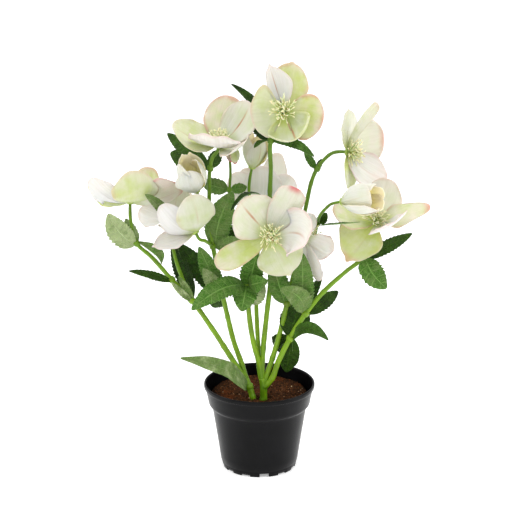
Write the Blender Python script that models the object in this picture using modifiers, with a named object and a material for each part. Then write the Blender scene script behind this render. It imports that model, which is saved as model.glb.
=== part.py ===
"""Potted christmas rose with fabric petals and leaves on moulded stems, in a nursery pot.

The origin is on the pot's axis, on the surface that the pot stands on. +Z is up and the viewer
stands towards -Y. Tables are in millimetres, and MM turns them to metres.
"""
from collections import namedtuple
import math
import random

import bmesh
import bpy
from mathutils import Matrix, Vector

MM = 0.001

# Pot, in mm: a 110 mm nursery pot
POT_HEIGHT = 87.0
LIP_RADIUS = 55.0
LIP_DROP = 6.5
COLLAR_RADIUS = 52.0
STEP_RADIUS = 47.5
STEP_HEIGHT = 63.0
FOOT_RADIUS = 36.6
FOOT_WIDTH = 2.4
FLOOR_UNDERSIDE = 5.1
FLOOR_TOP = 6.5
WALL = 1.3
TURN_STEPS = 28
NOTCH_COUNT = 12
NOTCH_WIDTH = 9.4
NOTCH_HEIGHT = 4.0
FIRST_NOTCH_ANGLE = -82.0

# Soil plug, in mm
SOIL_TOP = 77.5
SOIL_CROWN_RADIUS = 44.0
SOIL_EDGE_HEIGHT = 70.0
STEM_HOLE_FLOOR = 49.7

# Clearance between separate pieces, in mm
GAP = 0.3

# Shortest edge left in a fused piece, and how far its pieces may move, in mm
SLIVER = 0.02
NUDGE = 0.12
ATTEMPTS = 24

# Petals and leaves, in mm
BLADE_THICKNESS = 0.7
PETAL_ROWS = 4
PETAL_COLUMNS = 3
PETAL_ROLL = 6.0
BUD_ROWS = 3
BUD_ROLL = 14.0
LEAF_ROWS = 6
SMALL_LEAF_ROWS = 4
SMALL_LEAF_WIDTH = 13.5
LEAF_COLUMNS = 2
CALYX_RADIUS = 3.8
CALYX_THICKNESS = 2.4
PETAL_ROOT_RADIUS = 2.6
PETAL_ROOT_HALF = 1.2
LEAF_TOOTH = 0.10
LEAF_ROOT_HALF = 0.9
SLEEVE_LENGTH = 5.0
SLEEVE_WALL = 1.1

# Flower centres, in mm
CENTRE_RADIUS = 2.2
CENTRE_THICKNESS = 1.5
STAMENS = 8
STAMEN_LENGTH = 11.0
STAMEN_RADIUS = 0.45
STAMEN_RING = 1.4
STAMEN_DEPTH = 0.7
CARPELS = 3
CARPEL_LENGTH = 8.0
CARPEL_RADIUS = 0.7
FIRST_CENTRE_SEED = 30

# Directions that a leaf's upper face looks in
FRONT = (0.0, -1.0, 0.35)
UP = (0.0, 0.0, 1.0)
FRONT_UP = (0.0, -0.7, 0.7)

Stem = namedtuple("Stem", "points root_radius tip_radius bears", defaults=(None,))
Petal = namedtuple("Petal", "tip width bow sweep cup roll", defaults=(0, 0.2, 0))
Bloom = namedtuple("Bloom", "at faces splay petals")
Leaf = namedtuple("Leaf", "tip width arch sweep facing", defaults=(0, 0, FRONT))

# Each stem's points run from its root to its tip, and the last one bears a bloom or a bud
STEMS = {
    "left_root": Stem([(-7, -17, 50), (-7, -17, 79), (-10, -15, 88), (-13, -13, 95)], 3.8, 3.6),
    "left_outer": Stem([(-12, -14, 92), (-30, -12, 121), (-47, -12, 149), (-66, -12, 177),
                        (-85, -12, 198), (-105, -15, 223), (-118, -16, 236), (-123, -15, 254)],
                       3.4, 1.7, "far_left"),
    "left_back": Stem([(-66, -12, 177), (-74, -6, 195), (-81, 0, 213), (-86, 14, 233)],
                      2.4, 1.7, "back_left"),
    "left_inner": Stem([(-12, -13, 92), (-17, -8, 108), (-25, -2, 130), (-31, 0, 155),
                        (-36, 0, 179), (-41, 0, 206), (-45, -2, 229), (-48, -4, 254),
                        (-48, -5, 285), (-47, -6, 308), (-44, -6, 320)],
                       3.4, 1.9, "upper_left"),
    "left_side": Stem([(-45, -2, 229), (-52, -18, 239)], 2.2, 1.8, "left"),
    "left_bud": Stem([(-48, -4, 254), (-53, -4, 268)], 2.0, 1.6, "bud_half_open"),
    "nodding_bud": Stem([(-41, 0, 206), (-37, 7, 228), (-31, 13, 260), (-29, 14, 281),
                         (-28, 14, 301), (-29, 13, 318), (-29, 10, 328), (-29, 6, 333)],
                        1.9, 1.2, "bud_nodding"),
    "right_root": Stem([(4, -17.5, 50), (4, -17.5, 76), (4, -17, 88), (3, -16, 97)], 4.6, 4.0),
    "front": Stem([(3, -16, 92), (1, -14, 107), (-6, -12, 134), (-11, -12, 173), (-12, -10, 192),
                   (-10, -14, 213), (-5, -26, 234), (4, -38, 248)], 3.4, 2.0, "front"),
    "back_bud": Stem([(3, -16, 92), (0, -11, 104), (-1, -4, 124), (-3, 2, 169), (-3, 8, 201),
                      (-4, 14, 230), (-7, 18, 254), (-10, 19, 282)], 3.2, 1.5, "bud_back"),
    "back": Stem([(-3, 8, 201), (0, 24, 226), (2, 38, 240)], 2.2, 1.8, "back"),
    "top": Stem([(3, -16, 92), (3, -12, 112), (7, -6, 157), (11, -4, 195), (12, -4, 226),
                 (10, -4, 276), (11, -6, 306), (11, -8, 336), (15, -5, 350), (21, -2, 360)],
                3.4, 2.0, "top"),
    "upper_right": Stem([(4, -17, 90), (8, -15, 102), (16, -12, 127), (27, -10, 173),
                         (32, -6, 195), (36, 0, 212), (40, 8, 232), (45, 12, 263),
                         (56, 12, 303), (62, 10, 312), (71, 7, 320)], 3.4, 1.8, "upper_right"),
    "right": Stem([(5, -18, 88), (12, -18, 97), (18, -18, 114), (30, -19, 140), (45, -20, 166),
                   (62, -20, 188), (83, -22, 209), (100, -24, 225), (107, -21, 240)],
                  3.6, 1.9, "right"),
    "right_bud": Stem([(45, -20, 166), (42, -18, 175), (43, -11, 188), (48, 1, 215),
                       (53, 4, 234), (56, -1, 251), (58, -14, 263), (63, -27, 274),
                       (69, -37, 282)],
                      2.6, 1.5, "bud_right"),
    "behind_front": Stem([(43, -11, 188), (44, -21, 204), (42, -26, 222), (39, -26, 236)],
                         2.0, 1.6, "behind_front"),
}
CLUMPS = {
    "stems_left_clump": ("left_root", "left_outer", "left_back", "left_inner", "left_side",
                         "left_bud", "nodding_bud"),
    "stems_right_clump": ("right_root", "front", "back_bud", "back", "top", "upper_right", "right",
                          "right_bud", "behind_front"),
}

# A bloom's place is its calyx disc, and its petals' tips are given from there
BLOOMS = {
    "top": Bloom((23, -12, 365), (-0.12, -0.90, 0.42), 38, [
        Petal((-13, 4, 43), 26, 4, cup=0.35), Petal((8, 16, 43), 38, 2, cup=0.15),
        Petal((37, -8, -7), 45, 3, cup=0.15), Petal((9, -21, -23), 40, 5, cup=0.1),
        Petal((-27, -9, -10), 46, 3, 0, 0.15)]),
    "upper_left": Bloom((-39, -8, 331), (0.10, -0.35, 0.93), 30, [
        Petal((-43, -10, 14), 34, 7), Petal((2, 24, 41), 38, 8), Petal((30, 18, 36), 36, 8),
        Petal((26, -22, 12), 40, 7), Petal((-6, -32, 18), 46, 7)]),
    "far_left": Bloom((-124, -10, 275), (0.02, 0.25, 0.97), 28, [
        Petal((5, -16, 33), 48, 9, cup=0.3), Petal((-38, -6, 14), 32, 6, roll=-40),
        Petal((-19, 28, 17), 34, 7), Petal((20, 28, 28), 36, 8), Petal((47, 10, 10), 30, 5)]),
    "left": Bloom((-61, -26, 250), (-0.45, 0.50, 0.74), 20, [
        Petal((-41, -8, -12), 28, 3, roll=-40), Petal((-31, -12, 31), 38, 9),
        Petal((5, -13, 43), 36, 9, roll=20),
        Petal((-11, 18, 27), 28, 6), Petal((-35, 22, 1), 30, 5)]),
    "front": Bloom((10, -50, 254), (0.08, -0.94, 0.33), 34, [
        Petal((-31, -10, 36), 44, 3, cup=0.15), Petal((27, -2, 47), 34, 2, cup=0.1),
        Petal((34, -30, 7), 44, 8, cup=0.35), Petal((18, -12, -35), 46, 3, cup=0.1),
        Petal((-51, -20, -23), 30, 2, cup=0.1)]),
    "behind_front": Bloom((42, -16, 243), (0.45, 0.85, -0.20), 30, [
        Petal((9, 6, 21), 18, 3), Petal((26, 8, -24), 34, 3), Petal((17, -6, -43), 18, 2, roll=40),
        Petal((-14, 0, -26), 30, 2), Petal((-15, 2, 22), 30, 2)]),
    "upper_right": Bloom((84, 2, 322), (0.85, -0.45, 0.05), 32, [
        Petal((3, 0, 42), 28, -3), Petal((26, -14, 53), 20, 4, cup=0.6),
        Petal((35, 24, 1), 50, 6), Petal((38, 0, -24), 34, 5), Petal((8, -6, -35), 26, -2)]),
    "right": Bloom((112, -20, 258), (0.15, -0.62, 0.77), 32, [
        Petal((11, 14, 38), 36, 5), Petal((-41, -6, 7), 30, 3), Petal((-25, -22, -29), 44, 3),
        Petal((50, -2, 15), 26, 0, cup=0.15), Petal((28, -32, 19), 24, 5, cup=0.3)]),
    "back": Bloom((3, 50, 253), (0.0, 0.42, 0.90), 28, [
        Petal((-1, -12, 46), 38, 8), Petal((29, -2, 30), 34, 6), Petal((16, 18, 51), 34, 6),
        Petal((-16, 20, 44), 34, 6), Petal((-32, 0, 37), 34, 6)]),
    "back_left": Bloom((-88, 26, 251), (0.10, 0.30, 0.95), 28, [
        Petal((-30, -6, 9), 30, 5), Petal((9, -12, 35), 32, 6), Petal((29, 8, 23), 32, 6),
        Petal((15, 28, 18), 32, 6), Petal((-15, 24, 21), 32, 6)]),
}
BUDS = {
    "bud_half_open": Bloom((-60, -14, 288), (-0.24, -0.32, 0.91), 0, [
        Petal((-11, -4, 37), 20, 7, cup=0.5), Petal((-2, 2, 35), 20, 7, cup=0.5),
        Petal((3, -9, 31), 21, 7, cup=0.5), Petal((-6, -18, 28), 22, 7, cup=0.5),
        Petal((-15, -13, 32), 20, 7, cup=0.5)]),
    "bud_right": Bloom((78, -44, 286), (0.93, -0.30, 0.12), 0, [
        Petal((30, 0, 15), 24, 6, cup=0.5), Petal((26, -16, 8), 24, 6, cup=0.5),
        Petal((32, -8, -6), 22, 6, cup=0.5), Petal((39, 8, -4), 22, 6, cup=0.5),
        Petal((39, 12, 6), 24, 6, cup=0.5)]),
    "bud_back": Bloom((-7, 17, 303), (0.20, -0.10, 0.97), 0, [
        Petal((-4, -7, 33), 17, 5, cup=0.5), Petal((8, -10, 30), 18, 6, cup=0.5),
        Petal((16, -2, 27), 18, 6, cup=0.5), Petal((11, 8, 31), 18, 5, cup=0.5),
        Petal((-1, 5, 34), 17, 5, cup=0.5)]),
    "bud_nodding": Bloom((-28, 3, 327), (0.12, -0.10, -0.98), 0, [
        Petal((3, -5, -17), 11, 4, cup=0.5), Petal((7, 0, -16), 11, 4, cup=0.5),
        Petal((3, 5, -16), 11, 4, cup=0.5), Petal((-2, 0, -17), 11, 4, cup=0.5)]),
}

# A leaf set's sleeve is at one point of one stem, and its leaves' tips are places in the world
LEAF_SETS = {
    "leaves_top": ("top", 7, [
        Leaf((-5, -20, 332), 9, -2, 0, UP), Leaf((52, -18, 323), 11, -9, 0, UP),
        Leaf((-27, 27, 383), 11, 6, 6), Leaf((-8, 27, 348), 14)]),
    "leaves_upper_left": ("left_inner", 9, [
        Leaf((-88, 22, 318), 20), Leaf((-91, 30, 336), 18), Leaf((-39, 14, 321), 14)]),
    "leaves_far_left": ("left_outer", 6, [
        Leaf((-145, -20, 266), 28, 0, 6), Leaf((-129, -6, 260), 14),
        Leaf((-94, -12, 220), 10, -14, 0, UP)]),
    "leaf_low_left": ("left_outer", 4, [Leaf((-125, -34, 214), 10, -2, 0, FRONT_UP)]),
    "leaves_left_dark": ("left_outer", 3, [
        Leaf((-86, 26, 224), 17), Leaf((-69, 22, 232), 22), Leaf((-77, -22, 207), 9),
        Leaf((-84, -24, 197), 7)]),
    "leaves_left_light": ("left_inner", 4, [
        Leaf((-57, -14, 232), 20), Leaf((-54, -20, 212), 16), Leaf((-45, 10, 161), 16)]),
    "leaves_left_mid": ("left_inner", 6, [
        Leaf((-27, -16, 286), 24), Leaf((-14, -14, 244), 14), Leaf((-12, 12, 230), 14)]),
    "leaves_centre": ("front", 4, [
        Leaf((-65, -36, 176), 26, -14, 0, FRONT_UP), Leaf((-17, -34, 173), 28, -6),
        Leaf((-2, -28, 227), 24)]),
    "leaf_centre_small": ("front", 3, [Leaf((5, -8, 196), 14)]),
    "leaves_centre_right": ("upper_right", 3, [Leaf((11, -22, 219), 20)]),
    "leaves_right_fork": ("right", 4, [
        Leaf((40, -36, 232), 22), Leaf((27, -38, 189), 18, -3), Leaf((77, -6, 183), 22),
        Leaf((62, -2, 203), 9)]),
    "leaves_right_outer": ("right", 7, [Leaf((147, -16, 246), 13), Leaf((123, -38, 197), 22, -3)]),
    "leaves_right_inner": ("right_bud", 5, [
        Leaf((65, -4, 263), 11), Leaf((95, -61, 269), 10, 0, -5, UP)]),
    "leaf_front_arch": ("top", 5, [Leaf((-27, -28, 272), 10, -12, 0, UP)]),
    "leaf_basal": ("left_root", 2, [Leaf((-76, -50, 131), 20, -6, 0, FRONT_UP)]),
    "leaves_right_low": ("right", 3, [
        Leaf((42, 2, 166), 15), Leaf((28, -2, 98), 24), Leaf((67, -30, 142), 13, -12, 0, FRONT_UP),
        Leaf((17, 8, 141), 10)]),
    "leaves_back": ("nodding_bud", 3, [Leaf((-56, 26, 285), 16), Leaf((-12, 24, 284), 13)]),
    "leaves_upper_right": ("upper_right", 8, [Leaf((47, 2, 321), 9), Leaf((60, 14, 312), 6)]),
}


def clear_scene():
    """Remove every object that the file opened with."""
    for thing in list(bpy.data.objects):
        bpy.data.objects.remove(thing, do_unlink=True)


def new_collection(name):
    """A collection linked to the scene."""
    collection = bpy.data.collections.new(name)
    bpy.context.scene.collection.children.link(collection)
    return collection


def finish(name, rgb, roughness):
    """A Principled material with the part's colour, for one node."""
    material = bpy.data.materials.new(name)
    material.use_nodes = True
    shader = material.node_tree.nodes["Principled BSDF"]
    shader.inputs["Base Color"].default_value = (*rgb, 1.0)
    shader.inputs["Roughness"].default_value = roughness
    shader.inputs["Metallic"].default_value = 0.0
    material.diffuse_color = (*rgb, 1.0)
    return material


def place(name, mesh, collection):
    """A new object that carries a mesh, in one collection."""
    thing = bpy.data.objects.new(name, mesh)
    collection.objects.link(thing)
    return thing


def baked(thing):
    """The mesh of an object with its modifiers applied."""
    graph = bpy.context.evaluated_depsgraph_get()
    return bpy.data.meshes.new_from_object(thing.evaluated_get(graph))


def remove_all(things):
    """Remove helper objects."""
    for thing in things:
        bpy.data.objects.remove(thing, do_unlink=True)


def set_boolean(thing, operation, others, solver):
    """A Boolean of one object with all those of a collection."""
    modifier = thing.modifiers.new(operation.title(), "BOOLEAN")
    modifier.operation = operation
    modifier.operand_type = "COLLECTION"
    modifier.collection = others
    modifier.solver = solver


def fused(name, pieces, material, bores=None):
    """Join closed pieces into one body, less a collection of bores, and name it for its node.

    Where that leaves an edge that doesn't join two triangles, the pieces move a hair and it is
    done again.
    """
    joined = new_collection(name + "_pieces")
    body = pieces[0]
    for piece in pieces[1:]:
        PARTS.objects.unlink(piece)
        joined.objects.link(piece)
    set_boolean(body, "UNION", joined, "MANIFOLD")
    if bores:
        set_boolean(body, "DIFFERENCE", bores, "MANIFOLD")
    draw = random.Random(name)
    for _ in range(ATTEMPTS):
        mesh = baked(body)
        if closed_triangles(mesh):
            break
        for piece in pieces[1:]:
            piece.location = [draw.uniform(-NUDGE, NUDGE) * MM for axis in "xyz"]
    whole = place(name, mesh, PARTS)
    whole.data.materials.clear()
    whole.data.materials.append(material)
    remove_all(pieces)
    bpy.data.collections.remove(joined)
    return whole


def closed_triangles(mesh):
    """Turn a fused mesh into triangles with no slivers. True where each edge joins two of them."""
    shape = bmesh.new()
    shape.from_mesh(mesh)
    bmesh.ops.dissolve_degenerate(shape, edges=shape.edges, dist=SLIVER * MM)
    bmesh.ops.triangulate(shape, faces=shape.faces)
    loose = [edge for edge in shape.edges if not edge.link_faces]
    bmesh.ops.delete(shape, geom=loose, context="EDGES")
    closed = all(len(edge.link_faces) == 2 for edge in shape.edges)
    shape.to_mesh(mesh)
    shape.free()
    return closed


def turned(name, profile, material):
    """A solid turned from (radius, height) points in mm, listed from the axis down its outside."""
    mesh = bpy.data.meshes.new(name)
    points = [(radius * MM, 0.0, height * MM) for radius, height in profile]
    edges = [(i, i + 1) for i in range(len(points) - 1)]
    mesh.from_pydata(points, edges, [])
    thing = place(name, mesh, PARTS)
    screw = thing.modifiers.new("Turn", "SCREW")
    screw.steps = TURN_STEPS
    screw.render_steps = TURN_STEPS
    screw.use_merge_vertices = True
    screw.merge_threshold = 0.00001
    thing.data.materials.append(material)
    return thing


def build_pot():
    """Thin-walled pot with a rolled lip, a collar, a tapered wall and a notched foot ring."""
    inside = FOOT_RADIUS + 1.8 - WALL
    profile = [
        (0.0, FLOOR_TOP), (inside, FLOOR_TOP),
        (45.7 - WALL, 55.0), (STEP_RADIUS - WALL, STEP_HEIGHT), (COLLAR_RADIUS - WALL, 72.0),
        (LIP_RADIUS - 1.6, POT_HEIGHT), (LIP_RADIUS - 0.7, POT_HEIGHT),
        (LIP_RADIUS, POT_HEIGHT - 0.9), (LIP_RADIUS, POT_HEIGHT - LIP_DROP),
        (53.3, POT_HEIGHT - LIP_DROP), (COLLAR_RADIUS, 72.0), (50.0, 67.5),
        (STEP_RADIUS, STEP_HEIGHT), (45.7, 55.0), (38.1, 6.5), (37.5, 5.0),
        (FOOT_RADIUS, 0.0), (FOOT_RADIUS - FOOT_WIDTH, 0.0),
        (FOOT_RADIUS - FOOT_WIDTH, FLOOR_UNDERSIDE), (0.0, FLOOR_UNDERSIDE)]
    pot = turned("pot", profile, finish("black_moulded_plastic", (0.012, 0.012, 0.014), 0.42))
    bars = new_collection("pot_notches")
    for index in range(NOTCH_COUNT // 2):
        angle = math.radians(FIRST_NOTCH_ANGLE + 360.0 * index / NOTCH_COUNT)
        bars.objects.link(notch_bar(angle))
    set_boolean(pot, "DIFFERENCE", bars, "EXACT")
    pot.data = baked(pot)
    pot.modifiers.clear()
    remove_all(list(bars.objects))
    bpy.data.collections.remove(bars)
    return pot


def notch_bar(angle):
    """A bar right across the foot ring, which cuts two notches that face each other."""
    shape = bmesh.new()
    size = Vector((2.4 * FOOT_RADIUS, NOTCH_WIDTH, 2.0 * NOTCH_HEIGHT)) * MM
    bmesh.ops.create_cube(shape, size=1.0, matrix=Matrix.Diagonal(size).to_4x4())
    bmesh.ops.rotate(shape, verts=shape.verts, matrix=Matrix.Rotation(angle, 3, "Z"))
    mesh = bpy.data.meshes.new("notch_bar")
    shape.to_mesh(mesh)
    shape.free()
    return bpy.data.objects.new("notch_bar", mesh)


def build_soil():
    """Peat-brown plug that fills the pot, with a plain hole for each clump of stems."""
    side = GAP + 0.15
    profile = [
        (0.0, SOIL_TOP), (15.0, SOIL_TOP), (31.0, SOIL_TOP - 0.2),
        (SOIL_CROWN_RADIUS, SOIL_TOP - 0.6), (49.8 - side, SOIL_EDGE_HEIGHT),
        (STEP_RADIUS - WALL - side, STEP_HEIGHT), (45.7 - WALL - side, 55.0),
        (FOOT_RADIUS + 1.8 - WALL - side, FLOOR_TOP + GAP), (0.0, FLOOR_TOP + GAP)]
    soil = turned("soil", profile, finish("peat", (0.06, 0.025, 0.011), 0.95))
    soil.data = baked(soil)
    soil.modifiers.clear()
    for vertex in soil.data.vertices:
        x, y, z = vertex.co / MM
        if z > SOIL_TOP - 1.0:
            vertex.co.z += 0.5 * math.sin(0.31 * x + 1.0) * math.cos(0.27 * y) * MM
    holes = new_collection("soil_holes")
    for root in ("left_root", "right_root"):
        holes.objects.link(stem_hole(STEMS[root]))
    set_boolean(soil, "DIFFERENCE", holes, "EXACT")
    soil.data = baked(soil)
    soil.modifiers.clear()
    remove_all(list(holes.objects))
    bpy.data.collections.remove(holes)
    return soil


def stem_hole(stem):
    """A plain round hole for one root, clear of it all round."""
    sides = 12
    radius = (stem.root_radius + GAP) / math.cos(math.pi / sides)
    bottom = Vector(stem.points[0])
    height = SOIL_TOP + 10.0 - STEM_HOLE_FLOOR
    centre = Vector((bottom.x, bottom.y, STEM_HOLE_FLOOR + height / 2.0))
    shape = bmesh.new()
    bmesh.ops.create_cone(shape, cap_ends=True, segments=sides, radius1=radius * MM,
                          radius2=radius * MM, depth=height * MM,
                          matrix=Matrix.Translation(centre * MM))
    mesh = bpy.data.meshes.new("stem_hole")
    shape.to_mesh(mesh)
    shape.free()
    return bpy.data.objects.new("stem_hole", mesh)


def stem_route(stem):
    """A stem's points in mm, with the last two straight into the bloom that it bears."""
    route = [Vector(point) for point in stem.points]
    if stem.bears:
        bloom = {**BLOOMS, **BUDS}[stem.bears]
        axis = Vector(bloom.faces).normalized()
        disc = Vector(bloom.at)
        route.append(disc - axis * (CALYX_THICKNESS / 2.0 + 4.5))
        route.append(disc - axis * (CALYX_THICKNESS / 2.0 + GAP))
    return route


def tube(name, route, radii):
    """A closed six-sided tube along points in mm, with its own radius at each."""
    curve = bpy.data.curves.new(name, "CURVE")
    curve.dimensions = "3D"
    curve.bevel_depth = MM
    curve.bevel_resolution = 1
    curve.use_fill_caps = True
    spline = curve.splines.new("POLY")
    spline.points.add(len(route) - 1)
    for point, place_at, radius in zip(spline.points, route, radii):
        point.co = (*(place_at * MM), 1.0)
        point.radius = radius
    helper = place(name, curve, PARTS)
    mesh = baked(helper)
    remove_all([helper])
    bpy.data.curves.remove(curve)
    shape = bmesh.new()
    shape.from_mesh(mesh)
    bmesh.ops.remove_doubles(shape, verts=shape.verts, dist=0.00001)
    bmesh.ops.recalc_face_normals(shape, faces=shape.faces)
    shape.to_mesh(mesh)
    shape.free()
    return place(name, mesh, PARTS)


def stem_radii(stem, route):
    """Radii that fall evenly from a stem's root to its tip."""
    last = len(route) - 1
    return [stem.root_radius + (stem.tip_radius - stem.root_radius) * i / last
            for i in range(last + 1)]


def build_clump(name, stem_names):
    """Stems that spring from one root, fused where they fork."""
    pieces = []
    for stem_name in stem_names:
        route = stem_route(STEMS[stem_name])
        pieces.append(tube(stem_name, route, stem_radii(STEMS[stem_name], route)))
    return fused(name, pieces, finish(name + "_green", (0.22, 0.38, 0.03), 0.45))


def petal_outline(s):
    """Half-width along a petal from 0 to 1: a narrow claw, widest past half way, a round tip."""
    return math.sin(math.pi * (0.01 + 0.84 * s)) ** 0.8


def leaf_outline(s):
    """Half-width along a leaf: a short stalk, widest before half way, toothed, a long point."""
    plain = 0.10 + 0.90 * max(math.sin(math.pi * s ** 0.85), 0.0) ** 0.75
    tooth = LEAF_TOOTH * math.cos(math.pi * LEAF_ROWS * s)
    return plain * (1.0 + tooth)


def blade(name, root, tip, face, width, bow, sweep, cup, outline, rows, columns, point, least):
    """A thin curved blade in mm between root and tip, its upper side towards face.

    Its midrib is a quadratic curve that bows away from face and sweeps to one side. Across, it is
    outline(s) wide, least at its narrowest, and its edges rise by cup. Its edges lag behind the
    midrib by point.
    """
    chord = (tip - root).normalized()
    normal = (face - chord * face.dot(chord)).normalized()
    side = normal.cross(chord)
    bend = (root + tip) / 2.0 - normal * 2.0 * bow + side * 2.0 * sweep
    shape = bmesh.new()
    bmesh.ops.create_grid(shape, x_segments=columns, y_segments=rows, size=0.5)
    for vertex in shape.verts:
        across = 2.0 * vertex.co.x
        s = (vertex.co.y + 0.5)
        reach = s * (1.0 - point * across * across)
        along = ((1 - reach) * (bend - root) + reach * (tip - bend)).normalized()
        up = (normal - along * normal.dot(along)).normalized()
        half = max(width / 2.0 * outline(s), least)
        middle = root * (1 - reach) ** 2 + bend * 2 * reach * (1 - reach) + tip * reach ** 2
        rise = cup * half * across * across
        vertex.co = (middle + up.cross(along) * half * across + up * rise) * MM
    bmesh.ops.triangulate(shape, faces=shape.faces)
    mesh = bpy.data.meshes.new(name)
    shape.to_mesh(mesh)
    shape.free()
    thing = place(name, mesh, PARTS)
    solid = thing.modifiers.new("Thickness", "SOLIDIFY")
    solid.thickness = BLADE_THICKNESS * MM
    solid.offset = 0.0
    return thing


def disc(name, centre, axis, radius, thickness, sides):
    """A short round solid across an axis, in mm."""
    shape = bmesh.new()
    turn = axis.to_track_quat("Z", "Y").to_matrix().to_4x4()
    bmesh.ops.create_cone(shape, cap_ends=True, segments=sides, radius1=radius * MM,
                          radius2=radius * MM, depth=thickness * MM,
                          matrix=Matrix.Translation(centre * MM) @ turn)
    mesh = bpy.data.meshes.new(name)
    shape.to_mesh(mesh)
    shape.free()
    return place(name, mesh, PARTS)


def build_petals(name, bloom, rgb, rows, roll):
    """A bloom's or bud's petals, rooted in its calyx disc."""
    axis = Vector(bloom.faces).normalized()
    centre = Vector(bloom.at)
    pieces = [disc(name + "_calyx", centre, axis, CALYX_RADIUS, CALYX_THICKNESS, 10)]
    for petal in bloom.petals:
        reach = Vector(petal.tip)
        outward = (reach - axis * reach.dot(axis)).normalized()
        root = centre + outward * PETAL_ROOT_RADIUS
        chord = (centre + reach - root).normalized()
        face = chord.cross(axis.cross(outward))
        face = Matrix.Rotation(math.radians(petal.roll + roll), 3, chord) @ face
        pieces.append(blade(name + "_petal", root, centre + reach, face, petal.width, petal.bow,
                            petal.sweep, petal.cup, petal_outline, rows, PETAL_COLUMNS, 0.15,
                            PETAL_ROOT_HALF))
    return fused(name, pieces, finish(name + "_fabric", rgb, 0.7))


def rod(name, root, tip, root_radius, tip_radius, sides):
    """A tapered rod between two places in mm."""
    shape = bmesh.new()
    axis = tip - root
    turn = axis.to_track_quat("Z", "Y").to_matrix().to_4x4()
    bmesh.ops.create_cone(shape, cap_ends=True, segments=sides, radius1=root_radius * MM,
                          radius2=tip_radius * MM, depth=axis.length * MM,
                          matrix=Matrix.Translation((root + tip) / 2.0 * MM) @ turn)
    mesh = bpy.data.meshes.new(name)
    shape.to_mesh(mesh)
    shape.free()
    return place(name, mesh, PARTS)


def build_centre(name, bloom, seed):
    """Stamens in a ring round a few carpels, rooted in a small disc above the calyx."""
    draw = random.Random(seed)
    axis = Vector(bloom.faces).normalized()
    turn = axis.to_track_quat("Z", "Y").to_matrix()
    foot = Vector(bloom.at) + axis * (CALYX_THICKNESS / 2.0 + GAP + CENTRE_THICKNESS / 2.0)
    pieces = [disc(name + "_disc", foot, axis, CENTRE_RADIUS, CENTRE_THICKNESS, 8)]
    for index in range(STAMENS):
        around = 2.0 * math.pi * (index + draw.uniform(-0.2, 0.2)) / STAMENS
        splay = math.radians(bloom.splay * (0.55 + 0.45 * (index % 2)))
        outward = turn @ Vector((math.cos(around), math.sin(around), 0.0))
        lean = axis * math.cos(splay) + outward * math.sin(splay)
        top = foot + axis * CENTRE_THICKNESS / 2.0 + outward * STAMEN_RING
        root = top - lean * STAMEN_DEPTH
        tip = top + lean * STAMEN_LENGTH * draw.uniform(0.85, 1.1)
        pieces.append(rod(name + "_stamen", root, tip, STAMEN_RADIUS, STAMEN_RADIUS * 1.3, 3))
    for index in range(CARPELS):
        around = 2.0 * math.pi * index / CARPELS + 0.4
        outward = turn @ Vector((math.cos(around), math.sin(around), 0.0))
        tip = foot + axis * CARPEL_LENGTH + outward * 1.6
        pieces.append(rod(name + "_carpel", foot + outward * 0.65, tip, CARPEL_RADIUS,
                          CARPEL_RADIUS * 0.6, 4))
    return fused(name, pieces, finish(name + "_cream", (0.62, 0.66, 0.25), 0.6))


def stem_bores():
    """Cutters for the sleeves: every stem, thicker by the clearance."""
    cutters = new_collection("stem_bores")
    for stem_name, stem in STEMS.items():
        route = stem_route(stem)
        radii = [(radius + GAP) / math.cos(math.pi / 6) for radius in stem_radii(stem, route)]
        bore = tube(stem_name + "_bore", route, radii)
        bore.hide_render = True
        bore.display_type = "WIRE"
        PARTS.objects.unlink(bore)
        cutters.objects.link(bore)
    return cutters


def build_leaf_set(name, stem_name, index, leaves, rgb, bores):
    """Leaves rooted in a short sleeve that is pushed on to a stem."""
    stem = STEMS[stem_name]
    route = stem_route(stem)
    radius = stem_radii(stem, route)[index]
    node = route[index]
    axis = (route[index + 1] - route[index - 1]).normalized()
    outer = (radius + GAP) / math.cos(math.pi / 6) + SLEEVE_WALL
    pieces = [disc(name + "_sleeve", node, axis, outer, SLEEVE_LENGTH, 6)]
    for leaf in leaves:
        reach = Vector(leaf.tip) - node
        outward = (reach - axis * reach.dot(axis)).normalized()
        root = node + outward * (outer - SLEEVE_WALL)
        rows = LEAF_ROWS if leaf.width > SMALL_LEAF_WIDTH else SMALL_LEAF_ROWS
        pieces.append(blade(name + "_leaf", root, Vector(leaf.tip), Vector(leaf.facing),
                            leaf.width, leaf.arch, leaf.sweep, 0.12, leaf_outline, rows,
                            LEAF_COLUMNS, 0.0, LEAF_ROOT_HALF))
    return fused(name, pieces, finish(name + "_fabric", rgb, 0.6), bores)


clear_scene()
PARTS = new_collection("potted_christmas_rose")
build_pot()
build_soil()
for clump_name, clump_stems in CLUMPS.items():
    build_clump(clump_name, clump_stems)
for bloom_seed, (bloom_name, bloom_spec) in enumerate(BLOOMS.items(), FIRST_CENTRE_SEED):
    build_petals("petals_" + bloom_name, bloom_spec, (0.78, 0.80, 0.60), PETAL_ROWS, PETAL_ROLL)
    build_centre("centre_" + bloom_name, bloom_spec, bloom_seed)
for bud_name, bud_spec in BUDS.items():
    build_petals(bud_name, bud_spec, (0.80, 0.80, 0.62), BUD_ROWS, BUD_ROLL)
sleeve_bores = stem_bores()
for set_name, (on_stem, at_point, set_leaves) in LEAF_SETS.items():
    build_leaf_set(set_name, on_stem, at_point, set_leaves, (0.05, 0.14, 0.03), sleeve_bores)
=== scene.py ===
"""Looks of a potted christmas rose: cloth petals and leaves on moulded stems in a nursery pot.

Lengths are in millimetres until a mesh is made. The viewer stands towards -Y.
"""
from collections import namedtuple
from functools import partial
import math

import bpy
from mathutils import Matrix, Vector
import numpy as np


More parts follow.
